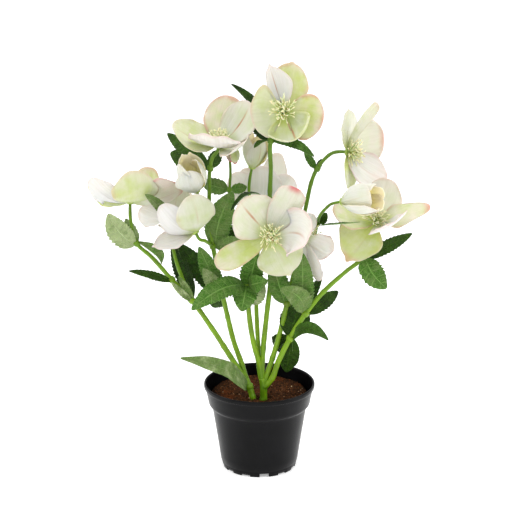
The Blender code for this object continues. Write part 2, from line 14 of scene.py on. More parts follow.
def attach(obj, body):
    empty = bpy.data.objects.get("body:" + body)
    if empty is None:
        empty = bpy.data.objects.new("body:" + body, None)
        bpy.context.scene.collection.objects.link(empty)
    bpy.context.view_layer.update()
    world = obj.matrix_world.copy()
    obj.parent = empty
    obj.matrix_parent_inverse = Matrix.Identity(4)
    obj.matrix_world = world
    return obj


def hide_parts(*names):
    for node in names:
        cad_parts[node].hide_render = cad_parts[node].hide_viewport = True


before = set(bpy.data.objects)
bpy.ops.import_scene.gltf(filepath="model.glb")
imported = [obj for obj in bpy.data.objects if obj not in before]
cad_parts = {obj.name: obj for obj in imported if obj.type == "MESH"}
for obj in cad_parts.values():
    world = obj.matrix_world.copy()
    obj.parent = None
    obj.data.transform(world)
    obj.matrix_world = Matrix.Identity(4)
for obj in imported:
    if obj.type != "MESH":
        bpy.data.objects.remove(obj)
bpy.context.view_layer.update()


# Pot. A 110 mm nursery pot of black polypropylene, injection moulded in one shot: rolled lip, deep
# collar, tapered wall, floor, and a foot ring with twelve drainage notches, the front one deepest.
MM = 0.001
POT_SIDES = 192
NOTCHES = 12
NOTCH_WIDTH = 9.4
NOTCH_HEIGHT = 4.0
LESSER_NOTCH = 1.7
NOTCH_STEP = 0.0028  # radians, which is 0.1 mm at the foot
FIRST_NOTCH_ANGLE = -82.0
FOOT_RADIUS = 36.6
POT_PROFILE = [
    (3.0, 5.1), (12.0, 5.1), (24.0, 5.1), (34.2, 5.1), (34.2, 0.3), (34.5, 0.0), (36.3, 0.0),
    (36.6, 0.3), (37.35, 4.0), (37.5, 5.0), (37.7, 5.9), (37.95, 6.2), (38.05, 6.9), (38.3, 7.3),
    (39.2, 13.0), (40.2, 20.0), (41.6, 29.0), (43.0, 38.0), (44.4, 47.0), (45.5, 54.0),
    (46.2, 58.5), (46.8, 61.8), (47.1, 63.0), (47.8, 63.8), (49.3, 64.9), (50.1, 66.0),
    (50.6, 67.6), (50.9, 69.4), (51.3, 71.6), (51.75, 73.6), (52.2, 75.8), (52.6, 77.6),
    (53.1, 80.4), (53.5, 82.2), (53.9, 82.8), (54.6, 82.9), (54.9, 83.1), (55.0, 83.5),
    (55.0, 84.6), (55.0, 85.6), (54.86, 86.3), (54.5, 86.8), (54.0, 87.0), (53.6, 86.95),
    (53.2, 86.6), (52.9, 85.9), (52.6, 84.0), (52.0, 79.5), (50.9, 73.0), (50.3, 70.8),
    (48.4, 66.6), (46.3, 62.8), (44.5, 55.2), (41.0, 31.0), (37.2, 7.2), (36.4, 6.5),
    (24.0, 6.5), (12.0, 6.5), (3.0, 6.5)]


def linear(code):
    """The linear colour of an sRGB hex value: each channel's power curve, straight near black."""
    levels = [int(code[i:i + 2], 16) / 255 for i in (1, 3, 5)]
    return (*[v / 12.92 if v <= 0.04045 else ((v + 0.055) / 1.055) ** 2.4 for v in levels], 1.0)


def add_node(tree, kind, sockets=(), stops=(), **settings):
    """Add a node: its properties, its ramp's stops, and a value or an output for each socket.

    Sockets are a dict by name, or their values in order from the first: one value or a tuple. A
    value in hex is a colour.
    """
    made = tree.nodes.new("ShaderNode" + kind)
    for name, value in settings.items():
        setattr(made, name, value)
    for _ in stops[2:]:
        made.color_ramp.elements.new(0.5)
    for index, (place, code) in enumerate(stops):
        made.color_ramp.elements[index].position = place
        made.color_ramp.elements[index].color = linear(code)
    if not isinstance(sockets, dict):
        sockets = dict(enumerate(sockets if isinstance(sockets, tuple) else (sockets,)))
    for name, value in sockets.items():
        if isinstance(value, str):
            value = linear(value)
        if isinstance(value, bpy.types.Node):
            value = value.outputs[0]
        if isinstance(value, bpy.types.NodeSocket):
            tree.links.new(value, made.inputs[name])
        else:
            made.inputs[name].default_value = value
    return made


def new_finish(name):
    """An empty material of a given name, and the function that adds a node to it."""
    made = bpy.data.materials.new(name)
    made.use_nodes = True
    made.node_tree.nodes.clear()
    return made, partial(add_node, made.node_tree)


Shell = namedtuple("Shell", "points faces fields slot")


def grid_faces(rows, columns, around=False):
    """Four-sided faces between the rows and columns of a grid that is numbered row by row.

    Around joins the last column to the first.
    """
    row = np.arange(rows - 1)[:, None] * columns
    here = np.arange(columns if around else columns - 1)[None, :]
    beside = (here + 1) % columns
    corners = [row + here, row + beside, row + beside + columns, row + here + columns]
    return np.stack(corners, -1).reshape(-1, 4)


def lofted(rings, fields=None, slot=0):
    """A closed shell over rings of points, which run anticlockwise seen from the last ring.

    Neighbouring rings are joined by four-sided faces, and each end by a fan to its ring's middle.
    """
    rows, columns = rings.shape[:2]
    here = np.arange(columns)
    beside = (here + 1) % columns
    first = np.full(columns, rows * columns)
    low_fan = np.stack([first, beside, here], -1)
    high_fan = np.stack([first + 1, here + (rows - 1) * columns, beside + (rows - 1) * columns], -1)
    ends = [rings[:1].mean(1), rings[-1:].mean(1)]
    points = np.concatenate([rings.reshape(-1, 3), *ends])
    faces = [grid_faces(rows, columns, True), low_fan, high_fan]
    full = {}
    for name, values in (fields or {}).items():
        ends = [values[:1].mean(1), values[-1:].mean(1)]
        full[name] = np.concatenate([values.reshape(-1, 3), *ends])
    return Shell(points, faces, full, slot)


def make_piece(name, shells, finishes, *stands_for):
    """One piece of the root body from closed shells, set end to end in one mesh.

    Their points are in mm, and their fields become vector attributes of the points.
    """
    starts = np.cumsum([0] + [len(shell.points) for shell in shells])
    faces, slots = [], []
    for start, shell in zip(starts, shells):
        for group in shell.faces:
            faces += (group + start).tolist()
            slots += [shell.slot] * len(group)
    mesh = bpy.data.meshes.new(name)
    mesh.from_pydata((np.concatenate([shell.points for shell in shells]) * MM).tolist(), [], faces)
    mesh.polygons.foreach_set("material_index", slots)
    mesh.polygons.foreach_set("use_smooth", [True] * len(faces))
    for field in sorted({key for shell in shells for key in shell.fields}):
        blank = [np.zeros((len(shell.points), 3)) for shell in shells]
        rows = [shell.fields.get(field, zero) for shell, zero in zip(shells, blank)]
        layer = mesh.attributes.new(field, "FLOAT_VECTOR", "POINT")
        layer.data.foreach_set("vector", np.concatenate(rows).ravel().astype(np.float32))
    for finish in finishes:
        mesh.materials.append(finish)
    mesh.update()
    thing = bpy.data.objects.new(name, mesh)
    bpy.context.scene.collection.objects.link(thing)
    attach(thing, "root")
    if stands_for:
        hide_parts(*stands_for)
    return thing


def round_angles(count):
    """Angles evenly round a circle."""
    return np.linspace(0, 2 * math.pi, count, endpoint=False)


def between(first, second, angle):
    """First times the angle's cosine plus second times its sine: first turned towards second."""
    return first * np.cos(angle) + second * np.sin(angle)


def turned_rings(profile, angles):
    """Rings of a turned form: radius times the cosine and sine of each angle, and the height."""
    radius, height = np.array(profile, float).T[:, :, None]
    flat = [radius * np.cos(angles), radius * np.sin(angles), height + 0 * angles]
    return np.stack(np.broadcast_arrays(*flat), -1)


# Each notch's two sides get two columns 0.2 mm apart, and between them the ring's foot is raised
half_notch = math.asin(NOTCH_WIDTH / 2 / FOOT_RADIUS)
notch_at = np.radians(FIRST_NOTCH_ANGLE + 360 / NOTCHES * np.arange(NOTCHES))
notch_edges = (notch_at[:, None] + half_notch * np.array([-1, 1])).ravel()
pot_angles = np.concatenate([np.linspace(-math.pi, math.pi, POT_SIDES, endpoint=False),
                             notch_edges - NOTCH_STEP, notch_edges + NOTCH_STEP])
pot_angles = np.unique(np.round((pot_angles + math.pi) % (2 * math.pi) - math.pi, 5))
from_notches = np.abs((pot_angles[:, None] - notch_at + math.pi) % (2 * math.pi) - math.pi)
from_notch = from_notches.min(1)
notch_height = np.where(from_notches[:, 0] < half_notch, NOTCH_HEIGHT, LESSER_NOTCH)
pot_rings = turned_rings(POT_PROFILE, pot_angles)
in_notch = (from_notch < half_notch) & (pot_rings[..., 2] < notch_height)
pot_rings[..., 2] = np.where(in_notch, notch_height, pot_rings[..., 2])

# Polypropylene, injection moulded: black, satin, with the tool's fine spark grain and faint scuffs
pot_finish, add = new_finish("black_moulded_polypropylene")
place = add("TexCoord").outputs["Object"]
grain = add("TexNoise", {"Vector": place, "Scale": 2200.0, "Detail": 2.0})
scuffs = add("TexNoise", {"Vector": place, "Scale": 60.0, "Detail": 5.0})
tone = add("ValToRGB", scuffs, [(0.35, "#030304"), (0.75, "#08080A")])
gloss = add("MapRange", (scuffs, 0.0, 1.0, 0.26, 0.36))
relief = add("Bump", {"Height": grain, "Strength": 0.25, "Distance": 0.00015})
shader = add("BsdfPrincipled", {"Base Color": tone, "Roughness": gloss, "Normal": relief,
                                "Specular IOR Level": 0.12, "IOR": 1.49})
add("OutputMaterial", shader)
pot = make_piece("moulded_pot", [lofted(pot_rings)], [pot_finish], "pot")


# Soil. A plug of pressed peat and coconut fibre, glued in the pot: a nearly flat, gritty top that
# falls to a rounded edge, darkened there by painted shade, and is strewn with loose grains. The stems
# stand in two plain holes.
SOIL_TOP = 77.3
SOIL_PROFILE = [(0.5, 6.8), (20.0, 6.8), (36.4, 6.8), (37.2, 8.0), (40.7, 31.0), (44.0, 55.0),
                (45.7, 62.8), (47.9, 67.6), (49.2, 70.0), (48.9, 72.0), (48.1, 74.0), (47.0, 75.6),
                (45.4, 76.5)]
SOIL_SIDES = 220
SOIL_SEED = 0.7
LUMP_HEIGHT = 0.6
STEM_FEET = [(-7.0, -17.0, 4.2), (4.0, -17.4, 5.0)]
HOLE_DEPTH = 2.6


def rough(x, y, seed, steps=((0.11, 0.55), (0.31, 0.3), (0.83, 0.2), (1.9, 0.13))):
    """Uneven height: sums of sine products that turn from step to step, each finer and lower."""
    total = 0 * x
    for index, (rate, height) in enumerate(steps):
        turn = seed + 2.4 * index
        u = rate * (x * math.cos(turn) + y * math.sin(turn)) + seed * 3.1
        v = rate * (y * math.cos(turn) - x * math.sin(turn)) + seed * 1.7
        total = total + height * np.sin(u + 1.3 * np.sin(v)) * np.cos(v + 1.1 * np.sin(u))
    return total


crown = [(radius, SOIL_TOP) for radius in np.linspace(44.3, 0.6, 52)]
soil_rings = turned_rings(SOIL_PROFILE + crown, round_angles(SOIL_SIDES))
lumps = rough(soil_rings[..., 0], soil_rings[..., 1], SOIL_SEED)
top_part = np.clip((soil_rings[..., 2] - 70.0) / 6.0, 0, 1)
soil_rings[..., 2] += lumps * top_part * LUMP_HEIGHT
for foot_x, foot_y, foot_radius in STEM_FEET:
    far = np.hypot(soil_rings[..., 0] - foot_x, soil_rings[..., 1] - foot_y)
    soil_rings[..., 2] -= HOLE_DEPTH * top_part * np.clip(1.6 - far / foot_radius, 0, 0.6) / 0.6


def strewn(count, seed, reach, smallest, largest):
    """Loose grains: twenty-sided lumps, each squashed, turned and half sunk in the soil's top."""
    draw = np.random.default_rng(seed)
    gold = (1 + 5 ** 0.5) / 2
    ball = [(0, a, b * gold) for a in (-1, 1) for b in (-1, 1)]
    ball = np.array(ball + [(b, c, a) for a, b, c in ball] + [(c, a, b) for a, b, c in ball], float)
    ball /= np.linalg.norm(ball[0])
    apart = np.linalg.norm(ball[:, None] - ball, axis=-1)
    near = np.abs(apart - apart[apart > 0.1].min()) < 1e-6
    trios = [(i, j, k) for i in range(12) for j in range(i + 1, 12) for k in range(j + 1, 12)
             if near[i, j] and near[j, k] and near[i, k]]
    faces = np.array([trio if np.linalg.det(ball[list(trio)]) > 0 else trio[::-1]
                      for trio in trios])
    size = smallest + (largest - smallest) * draw.random((count, 1, 1)) ** 3
    squash = draw.uniform(0.6, 1.3, (count, 1, 3)) * size
    turn, _ = np.linalg.qr(draw.normal(size=(count, 3, 3)))
    turn *= np.sign(np.linalg.det(turn))[:, None, None]
    bumps = draw.uniform(0.8, 1.15, (count, 12, 1))
    lumps = (ball * squash * bumps) @ turn
    radius = reach * np.sqrt(draw.random(count))
    angle = 2 * math.pi * draw.random(count)
    x, y = radius * np.cos(angle), radius * np.sin(angle)
    z = SOIL_TOP + LUMP_HEIGHT * rough(x, y, SOIL_SEED) - np.clip((radius - 42.0) / 3.0, 0, 2) ** 2 * 0.6
    lumps = lumps + np.stack([x, y, z + size[:, 0, 0] * 0.25], -1)[:, None, :]
    kind = np.repeat(draw.random((count, 1, 3)), 12, axis=1)
    order = (np.arange(count) * 12)[:, None, None] + faces
    return Shell(lumps.reshape(-1, 3), [order.reshape(-1, 3)], {"grain": kind.reshape(-1, 3)}, 1)


# Peat and coir, pressed damp and dried: dull browns that change from crumb to crumb, no gloss.
# Towards the pot wall the top is darkened with painted shade
soil_finish, add = new_finish("pressed_peat")
place = add("TexCoord").outputs["Object"]
crumbs = add("TexVoronoi", {"Vector": place, "Scale": 900.0})
patches = add("TexNoise", {"Vector": place, "Scale": 110.0, "Detail": 6.0})
crumb = add("SeparateColor", crumbs.outputs["Color"])
brown = add("ValToRGB", patches, [(0.3, "#1B0F07"), (0.5, "#321C0D"), (0.72, "#4E2E18")])
fleck = add("ValToRGB", crumb, [(0.0, "#150C06"), (0.45, "#321D0F"), (0.86, "#543119"),
                                (1.0, "#7E5432")])
earth = add("MixRGB", (0.55, brown, fleck))
rust = add("TexNoise", {"Vector": place, "Scale": 48.0, "Detail": 3.0})
rust = add("MapRange", (rust, 0.54, 0.68, 0.0, 0.5))
earth = add("MixRGB", (rust, earth, "#6B3210"))
level_place = add("VectorMath", (place, (1.0, 1.0, 0.0)), operation="MULTIPLY")
from_middle = add("VectorMath", level_place, operation="LENGTH").outputs["Value"]
# Painted shade: from 34 mm out to 47 mm from the middle the top darkens to near black, where the pot's
# rim shades it
painted_rim_shade = add("MapRange", (from_middle, 0.034, 0.047, 0.0, 0.65))
earth = add("MixRGB", (painted_rim_shade, earth, "#120A05"))
height = add("Math", (crumbs.outputs["Distance"], patches), operation="ADD")
relief = add("Bump", {"Height": height, "Strength": 0.9, "Distance": 0.0012})
shader = add("BsdfPrincipled", {"Base Color": earth, "Roughness": 0.95, "Normal": relief,
                                "Specular IOR Level": 0.05})
add("OutputMaterial", shader)

# Loose peat grains, sieved: most dark brown, some rust red, and a few pale bits of bark and grit
grain_finish, add = new_finish("loose_peat_grains")
kind = add("SeparateXYZ", add("Attribute", attribute_name="grain").outputs["Vector"])
hue = add("ValToRGB", kind, [(0.0, "#1B1008"), (0.5, "#33200F"), (0.8, "#592F15"),
                             (0.95, "#7B4823"), (1.0, "#C0A888")])
shader = add("BsdfPrincipled", {"Base Color": hue, "Roughness": 0.92, "Specular IOR Level": 0.05})
add("OutputMaterial", shader)
grains = strewn(count=2200, seed=5, reach=46.0, smallest=0.18, largest=0.8)
soil = make_piece("peat_plug", [lofted(soil_rings), grains], [soil_finish, grain_finish], "soil")


# Stems. Two clumps of polyethylene stems, moulded over wire with a knuckle at each joint: every
# branch runs from its fork to the disc of its bloom or bud, and the two roots stand in the soil.
CALYX_THICKNESS = 2.4
GAP = 0.3
SLIM = 0.82
STEM_SIDES = 18
STEM_RING_SPACING = 1.3
STRAIGHT_END = 4.5
KNUCKLE_SWELL = 0.13
Stem = namedtuple("Stem", "points root_radius tip_radius bears", defaults=(None,))
STEMS = {
    "left_root": Stem([(-7, -17, 50), (-7, -17, 79), (-10, -15, 88), (-13, -13, 95)], 3.8, 3.6),
    "left_outer": Stem([(-12, -14, 92), (-30, -12, 121), (-47, -12, 149), (-66, -12, 177),
                        (-85, -12, 198), (-105, -15, 223), (-118, -16, 236), (-123, -15, 254)],
                       3.4, 1.7, "far_left"),
    "left_back": Stem([(-66, -12, 177), (-74, -6, 195), (-81, 0, 213), (-86, 14, 233)],
                      2.4, 1.7, "back_left"),
    "left_inner": Stem([(-12, -13, 92), (-17, -8, 108), (-25, -2, 130), (-31, 0, 155),
                        (-36, 0, 179), (-41, 0, 206), (-45, -2, 229), (-48, -4, 254),
                        (-48, -5, 285), (-47, -6, 308), (-44, -6, 320)],
                       3.4, 1.9, "upper_left"),
    "left_side": Stem([(-45, -2, 229), (-52, -18, 239)], 2.2, 1.8, "left"),
    "left_bud": Stem([(-48, -4, 254), (-53, -4, 268)], 2.0, 1.6, "bud_half_open"),
    "nodding_bud": Stem([(-41, 0, 206), (-37, 7, 228), (-31, 13, 260), (-29, 14, 281),
                         (-28, 14, 301), (-29, 13, 318), (-29, 10, 328), (-29, 6, 333)],
                        1.9, 1.2, "bud_nodding"),
    "right_root": Stem([(4, -17.5, 50), (4, -17.5, 76), (4, -17, 88), (3, -16, 97)], 4.6, 4.0),
    "front": Stem([(3, -16, 92), (1, -14, 107), (-6, -12, 134), (-11, -12, 173), (-12, -10, 192),
                   (-10, -14, 213), (-5, -26, 234), (4, -38, 248)], 3.4, 2.0, "front"),
    "back_bud": Stem([(3, -16, 92), (0, -11, 104), (-1, -4, 124), (-3, 2, 169), (-3, 8, 201),
                      (-4, 14, 230), (-7, 18, 254), (-10, 19, 282)], 3.2, 1.5, "bud_back"),
    "back": Stem([(-3, 8, 201), (0, 24, 226), (2, 38, 240)], 2.2, 1.8, "back"),
    "top": Stem([(3, -16, 92), (3, -12, 112), (7, -6, 157), (11, -4, 195), (12, -4, 226),
                 (10, -4, 276), (11, -6, 306), (11, -8, 336), (15, -5, 350), (21, -2, 360)],
                3.4, 2.0, "top"),
    "upper_right": Stem([(4, -17, 90), (8, -15, 102), (16, -12, 127), (27, -10, 173),
                         (32, -6, 195), (36, 0, 212), (40, 8, 232), (45, 12, 263),
                         (56, 12, 303), (62, 10, 312), (71, 7, 320)], 3.4, 1.8, "upper_right"),
    "right": Stem([(5, -18, 88), (12, -18, 97), (18, -18, 114), (30, -19, 140), (45, -20, 166),
                   (62, -20, 188), (83, -22, 209), (100, -24, 225), (107, -21, 240)],
                  3.6, 1.9, "right"),
    "right_bud": Stem([(45, -20, 166), (42, -18, 175), (43, -11, 188), (48, 1, 215),
                       (53, 4, 234), (56, -1, 251), (58, -14, 263), (63, -27, 274),
                       (69, -37, 282)],
                      2.6, 1.5, "bud_right"),
    "behind_front": Stem([(43, -11, 188), (44, -21, 204), (42, -26, 222), (39, -26, 236)],
                         2.0, 1.6, "behind_front"),
}
CLUMPS = {
    "stems_left_clump": ("left_root", "left_outer", "left_back", "left_inner", "left_side",
                         "left_bud", "nodding_bud"),
    "stems_right_clump": ("right_root", "front", "back_bud", "back", "top", "upper_right", "right",
                          "right_bud", "behind_front"),
}

# A bloom's or bud's place is its calyx disc, and the way it faces
DISCS = {
    "top": ((23, -12, 365), (-0.12, -0.90, 0.42)),
    "upper_left": ((-39, -8, 331), (0.10, -0.35, 0.93)),
    "far_left": ((-124, -10, 275), (0.02, 0.25, 0.97)),
    "left": ((-61, -26, 250), (-0.45, 0.50, 0.74)),
    "front": ((10, -50, 254), (0.08, -0.94, 0.33)),
    "behind_front": ((42, -16, 243), (0.45, 0.85, -0.20)),
    "upper_right": ((84, 2, 322), (0.85, -0.45, 0.05)),
    "right": ((112, -20, 258), (0.15, -0.62, 0.77)),
    "back": ((3, 50, 253), (0.0, 0.42, 0.90)),
    "back_left": ((-88, 26, 251), (0.10, 0.30, 0.95)),
    "bud_half_open": ((-60, -14, 288), (-0.24, -0.32, 0.91)),
    "bud_right": ((78, -44, 286), (0.78, -0.56, 0.29)),
    "bud_back": ((-7, 17, 303), (0.20, -0.10, 0.97)),
    "bud_nodding": ((-28, 3, 327), (0.12, -0.10, -0.98)),
}


def unit(vectors):
    """Vectors divided by their own lengths."""
    return vectors / np.linalg.norm(vectors, axis=-1, keepdims=True)


def placed(disc):
    """A disc's middle and the unit vector that it faces along."""
    return np.array(disc[0], float), unit(np.array(disc[1], float))


def stem_route(stem):
    """A stem's points in mm, with the last two straight into the disc that it bears."""
    route = [np.array(point, float) for point in stem.points]
    if stem.bears:
        centre, axis = placed(DISCS[stem.bears])
        for back in (CALYX_THICKNESS / 2 + STRAIGHT_END, CALYX_THICKNESS / 2 + GAP):
            route.append(centre - axis * back)
    return np.array(route)


def smooth(route, steps):
    """A smooth line through points: cubics, whose slope at a point averages the chords beside it.

    Returns the line's points and, for each, how many points of the route lie behind it and how
    far along the line it is.
    """
    at = np.concatenate([[0], np.cumsum(np.linalg.norm(np.diff(route, axis=0), axis=1))])
    slope = np.gradient(route, at, axis=0)
    along = np.linspace(0, at[-1], steps)
    i = np.clip(np.searchsorted(at, along, side="right") - 1, 0, len(at) - 2)
    span = (at[i + 1] - at[i])[:, None]
    t = (along[:, None] - at[i][:, None]) / span
    line = ((2 * t ** 3 - 3 * t ** 2 + 1) * route[i] + (t ** 3 - 2 * t ** 2 + t) * span * slope[i]
            + (3 * t ** 2 - 2 * t ** 3) * route[i + 1] + (t ** 3 - t ** 2) * span * slope[i + 1])
    return line, i + t[:, 0], along


def rings_along(line, radii, sides, across=(0.0, 1.0, 0.0)):
    """Rings round a line, square to it: its points plus the radius there in every direction."""
    ahead = unit(np.gradient(line, axis=0))
    beside = unit(np.cross(np.array(across), ahead))
    over = np.cross(ahead, beside)
    angle = round_angles(sides)[None, :, None]
    return line[:, None] + between(beside[:, None], over[:, None], angle) * radii[..., None]


def stem_shell(stem, seed):
    """A stem's shell: radii fall from root to tip, swell at each knuckle and ripple in five ribs."""
    route = stem_route(stem)
    length = np.linalg.norm(np.diff(route, axis=0), axis=1).sum()
    line, behind, along = smooth(route, max(int(length / STEM_RING_SPACING), 12))
    radii = np.interp(behind, [0, len(route) - 1], [stem.root_radius, stem.tip_radius]) * SLIM
    knuckles = np.arange(1.0, len(stem.points) - 1, 2.0) + 0.3 * (seed % 3)
    apart = np.abs(behind[:, None] - knuckles)
    radii = radii * (1 + KNUCKLE_SWELL * np.exp(-(apart / 0.08) ** 2).sum(1))
    angle = round_angles(STEM_SIDES)
    ribs = 1 + 0.035 * np.cos(5 * angle + seed) + 0.012 * np.cos(11 * angle)
    uneven = 1 + 0.03 * np.sin(along * 0.21 + seed) + 0.02 * np.sin(along * 0.57 + 2 * seed)
    rings = rings_along(line, radii[:, None] * ribs * uneven[:, None], STEM_SIDES)
    turn = np.broadcast_to(angle / (2 * math.pi), rings.shape[:2])
    far = np.broadcast_to(along[:, None], rings.shape[:2])
    field = np.stack([turn, far, np.full(rings.shape[:2], seed)], -1)
    return lofted(rings, {"stalk": field})


# Polyethylene, moulded over wire: waxy green, yellower at the foot, olive above, with fine streaks
stem_finish, add = new_finish("moulded_polyethylene_stem")
place = add("TexCoord").outputs["Object"]
stalk = add("SeparateXYZ", add("Attribute", attribute_name="stalk").outputs["Vector"])
rise = add("SeparateXYZ", place)
streak_at = add("CombineXYZ", (add("Math", (stalk, 26.0), operation="MULTIPLY"),
                               add("Math", (stalk.outputs["Y"], 0.06), operation="MULTIPLY"),
                               stalk.outputs["Z"]))
streaks = add("TexNoise", {"Vector": streak_at, "Scale": 1.0, "Detail": 3.0})
clouds = add("TexNoise", {"Vector": place, "Scale": 70.0, "Detail": 3.0})
level = add("MapRange", (rise.outputs["Z"], 0.07, 0.36))
shift = add("MapRange", (clouds, 0.3, 0.7, -0.14, 0.14))
level = add("Math", (level, shift), operation="ADD")
green = add("ValToRGB", level, [(0.0, "#5C8A00"), (0.2, "#80A60A"), (0.5, "#709810"),
                                (0.8, "#5E8216"), (1.0, "#6C8E28")])
patches = add("TexNoise", {"Vector": place, "Scale": 32.0, "Detail": 4.0})
patches = add("MapRange", (patches, 0.5, 0.72, 0.0, 0.6))
green = add("MixRGB", (patches, green, "#4C5E12"))
lines = add("MapRange", (streaks, 0.35, 0.7, 0.0, 0.6))
skin = add("MixRGB", (lines, green, "#3F5E0C"))
relief = add("Bump", {"Height": streaks, "Strength": 0.5, "Distance": 0.0004})
shader = add("BsdfPrincipled", {"Base Color": skin, "Roughness": 0.42, "Normal": relief,
                                "Specular IOR Level": 0.32, "IOR": 1.51, "Subsurface Weight": 0.08,
                                "Subsurface Scale": 0.002})
add("OutputMaterial", shader)
for clump, branches in CLUMPS.items():
    shells = [stem_shell(STEMS[branch], seed) for seed, branch in enumerate(branches)]
    make_piece(clump.replace("stems", "moulded_stems"), shells, [stem_finish], clump)


# Petals. Five broad petals a bloom, cut from white polyester cloth, dyed lime and blushed pink by
# hand, then pressed hot so that veins and a cupped edge stay, and glued to a small green disc.
PETAL_ROOT_RADIUS = 2.6
PETAL_ROLL = 6.0
BUD_ROLL = 14.0
PETAL_ROWS = 34
PETAL_COLUMNS = 27
DISC_SIDES = 20
CLOTH_THICKNESS = 0.5
Petal = namedtuple(
    "Petal", "tip width bow lime blush rib cup roll sweep inner red skew ruffle beak curl taper full",
    defaults=(0.45, 0.25, 0.15, 0.2, 0, 0, 0.0, 0.0, 0.0, 0.05, 0.0, 0.0, 0.244, 0.7))
# A petal's tip is measured from its disc's middle, and its roll is in degrees. Its dyes are shares
# from 0 to 1: lime, blush and rib, and then inner, a bud's cream inside, and red, its tip.
BLOOMS = {
    "top": [
        Petal((-13, 4, 42), 23, 4, 0.1, 0.2, 0.8, cup=0.35, skew=-0.35, beak=0.08),
        Petal((8, 16, 43), 38, 2, 0.85, 0.5, 0, cup=0.15, beak=0.04),
        Petal((37, -8, -7), 46, 3, 0.85, 0.7, 0, cup=0.15, red=0.15, ruffle=0.03),
        Petal((12, -25, -25), 46, 6, 0.75, 0.1, 0.9, cup=0.3, curl=0.3, taper=0.55),
        Petal((-31, -6, -2), 50, 3, 0.6, 0.3, 0, roll=-18, red=0.1, skew=-0.1)],
    "upper_left": [
        Petal((-43, -8, 22), 40, 4, 0.65, 0.2, 0.3, roll=-18, ruffle=0.06, taper=0.3),
        Petal((11, 28, 42), 42, 5, 0.55, 0.7, 0.1), Petal((31, 8, 40), 40, 6, 0.45, 0.3, 0.9),
        Petal((26, -22, 12), 42, 7, 0.3, 0.3, 0.2, ruffle=0.1),
        Petal((-4, -32, 18), 54, 4, 0.1, 0.35, 0, ruffle=0.09)],
    "far_left": [
        Petal((6, -14, 36), 46, 12, 0.75, 0.35, 0.0, cup=0.12, taper=0.3, full=0.5),
        Petal((-38, -6, 25), 32, 8, 0.1, 0.2, 0, roll=30),
        Petal((-40, 4, 17), 26, 9, 1.0, 0.25, 0, roll=30), Petal((17, 28, 28), 40, 8, 0.9, 0.6, 0),
        Petal((50, 6, 12), 42, 3, 0.3, 0.8, 0.2, roll=-40, skew=-0.2)],
    "left": [
        Petal((-39, -8, -11), 32, 4, 0.05, 0.3, 0, roll=-55, skew=-0.2, beak=0.07),
        Petal((-33, -8, 29), 32, 8, 0.05, 0.15, 0),
        Petal((-3, -13, 41), 41, 9, 0.5, 0.2, 0.2, roll=-12), Petal((-10, 32, 14), 26, 6, 0.3),
        Petal((-35, 22, 1), 30, 5, 0.3)],
    "front": [
        Petal((-28, -10, 36), 48, 3, 0.45, 0.35, 0.85, cup=0.15),
        Petal((24, -2, 48), 31, 2, 0.35, 0.4, 0.0, cup=0.1, red=0.9, taper=0.1),
        Petal((33, -29, 1), 47, 9, 0.1, 0.4, 0.5, cup=0.32, sweep=8, taper=0.12, full=0.5),
        Petal((18, -12, -33), 46, 3, 0.65, 0.15, 0.1, cup=0.1, beak=0.07),
        Petal((-51, -20, -23), 24, 2, 0.9, 0.45, 0, cup=0.1, taper=0.15)],
    "behind_front": [
        Petal((9, 6, 21), 18, 3, 0.15), Petal((26, 8, -22), 36, 3, 0.1, 0.5),
        Petal((16, -6, -43), 20, 2, 0.05, 0.25, 0, roll=20, taper=0.15),
        Petal((-14, 0, -26), 30, 2, 0.2), Petal((-15, 2, 22), 30, 2, 0.2)],
    "upper_right": [
        Petal((1, 0, 41), 22, -2, 0.4, 0.1, 0, cup=0.05, roll=-24, beak=0.04),
        Petal((28, -14, 51), 12, 4, 0.5, 0.3, 0, cup=0.25, roll=62, taper=0.05),
        Petal((37, 24, 7), 55, 6, 0.35, 0.4, 0, red=0.25),
        Petal((38, 0, -29), 36, 5, 0.1, 0.45, 0.2),
        Petal((3, -6, -35), 24, -2, 0.75, 0.1, 0, cup=0.1, ruffle=0.03)],
    "right": [
        Petal((11, 14, 40), 38, 5, 0.35, 0.4, 0), Petal((-42, -4, 15), 36, 3, 0.75, 0.55, 0),
        Petal((-27, -22, -29), 46, 3, 0.85, 0.2, 0.1, red=0.3, skew=-0.14, beak=0.1, taper=0.36),
        Petal((51, -2, 17), 24, 0, 0.6, 0.5, 0, cup=0.15, red=0.4, taper=0.45),
        Petal((14, -36, 12), 44, 5, 0.05, 0.35, 0, roll=8, taper=0.02)],
    "back": [
        Petal((-1, -12, 46), 40, 8, 0.1, 0.25, 0),
        Petal((29, -2, 32), 36, 6, 0.1, 0.25, 0, roll=-50),
        Petal((15, 18, 51), 36, 6, 0.15, 0.25, 0, roll=60),
        Petal((-16, 20, 35), 34, 6, 0.1, 0.25, 0, roll=-60),
        Petal((-30, 0, 34), 34, 6, 0.1, 0.25, 0, roll=50)],
    "back_left": [
        Petal((-30, -8, 7), 32, 5, 0.05, 0.25, 0, roll=46), Petal((9, -12, 35), 32, 6, 0.4),
        Petal((29, 8, 23), 32, 6, 0.2), Petal((15, 28, 18), 32, 6, 0.2),
        Petal((-15, 24, 21), 32, 6, 0.2)],
}
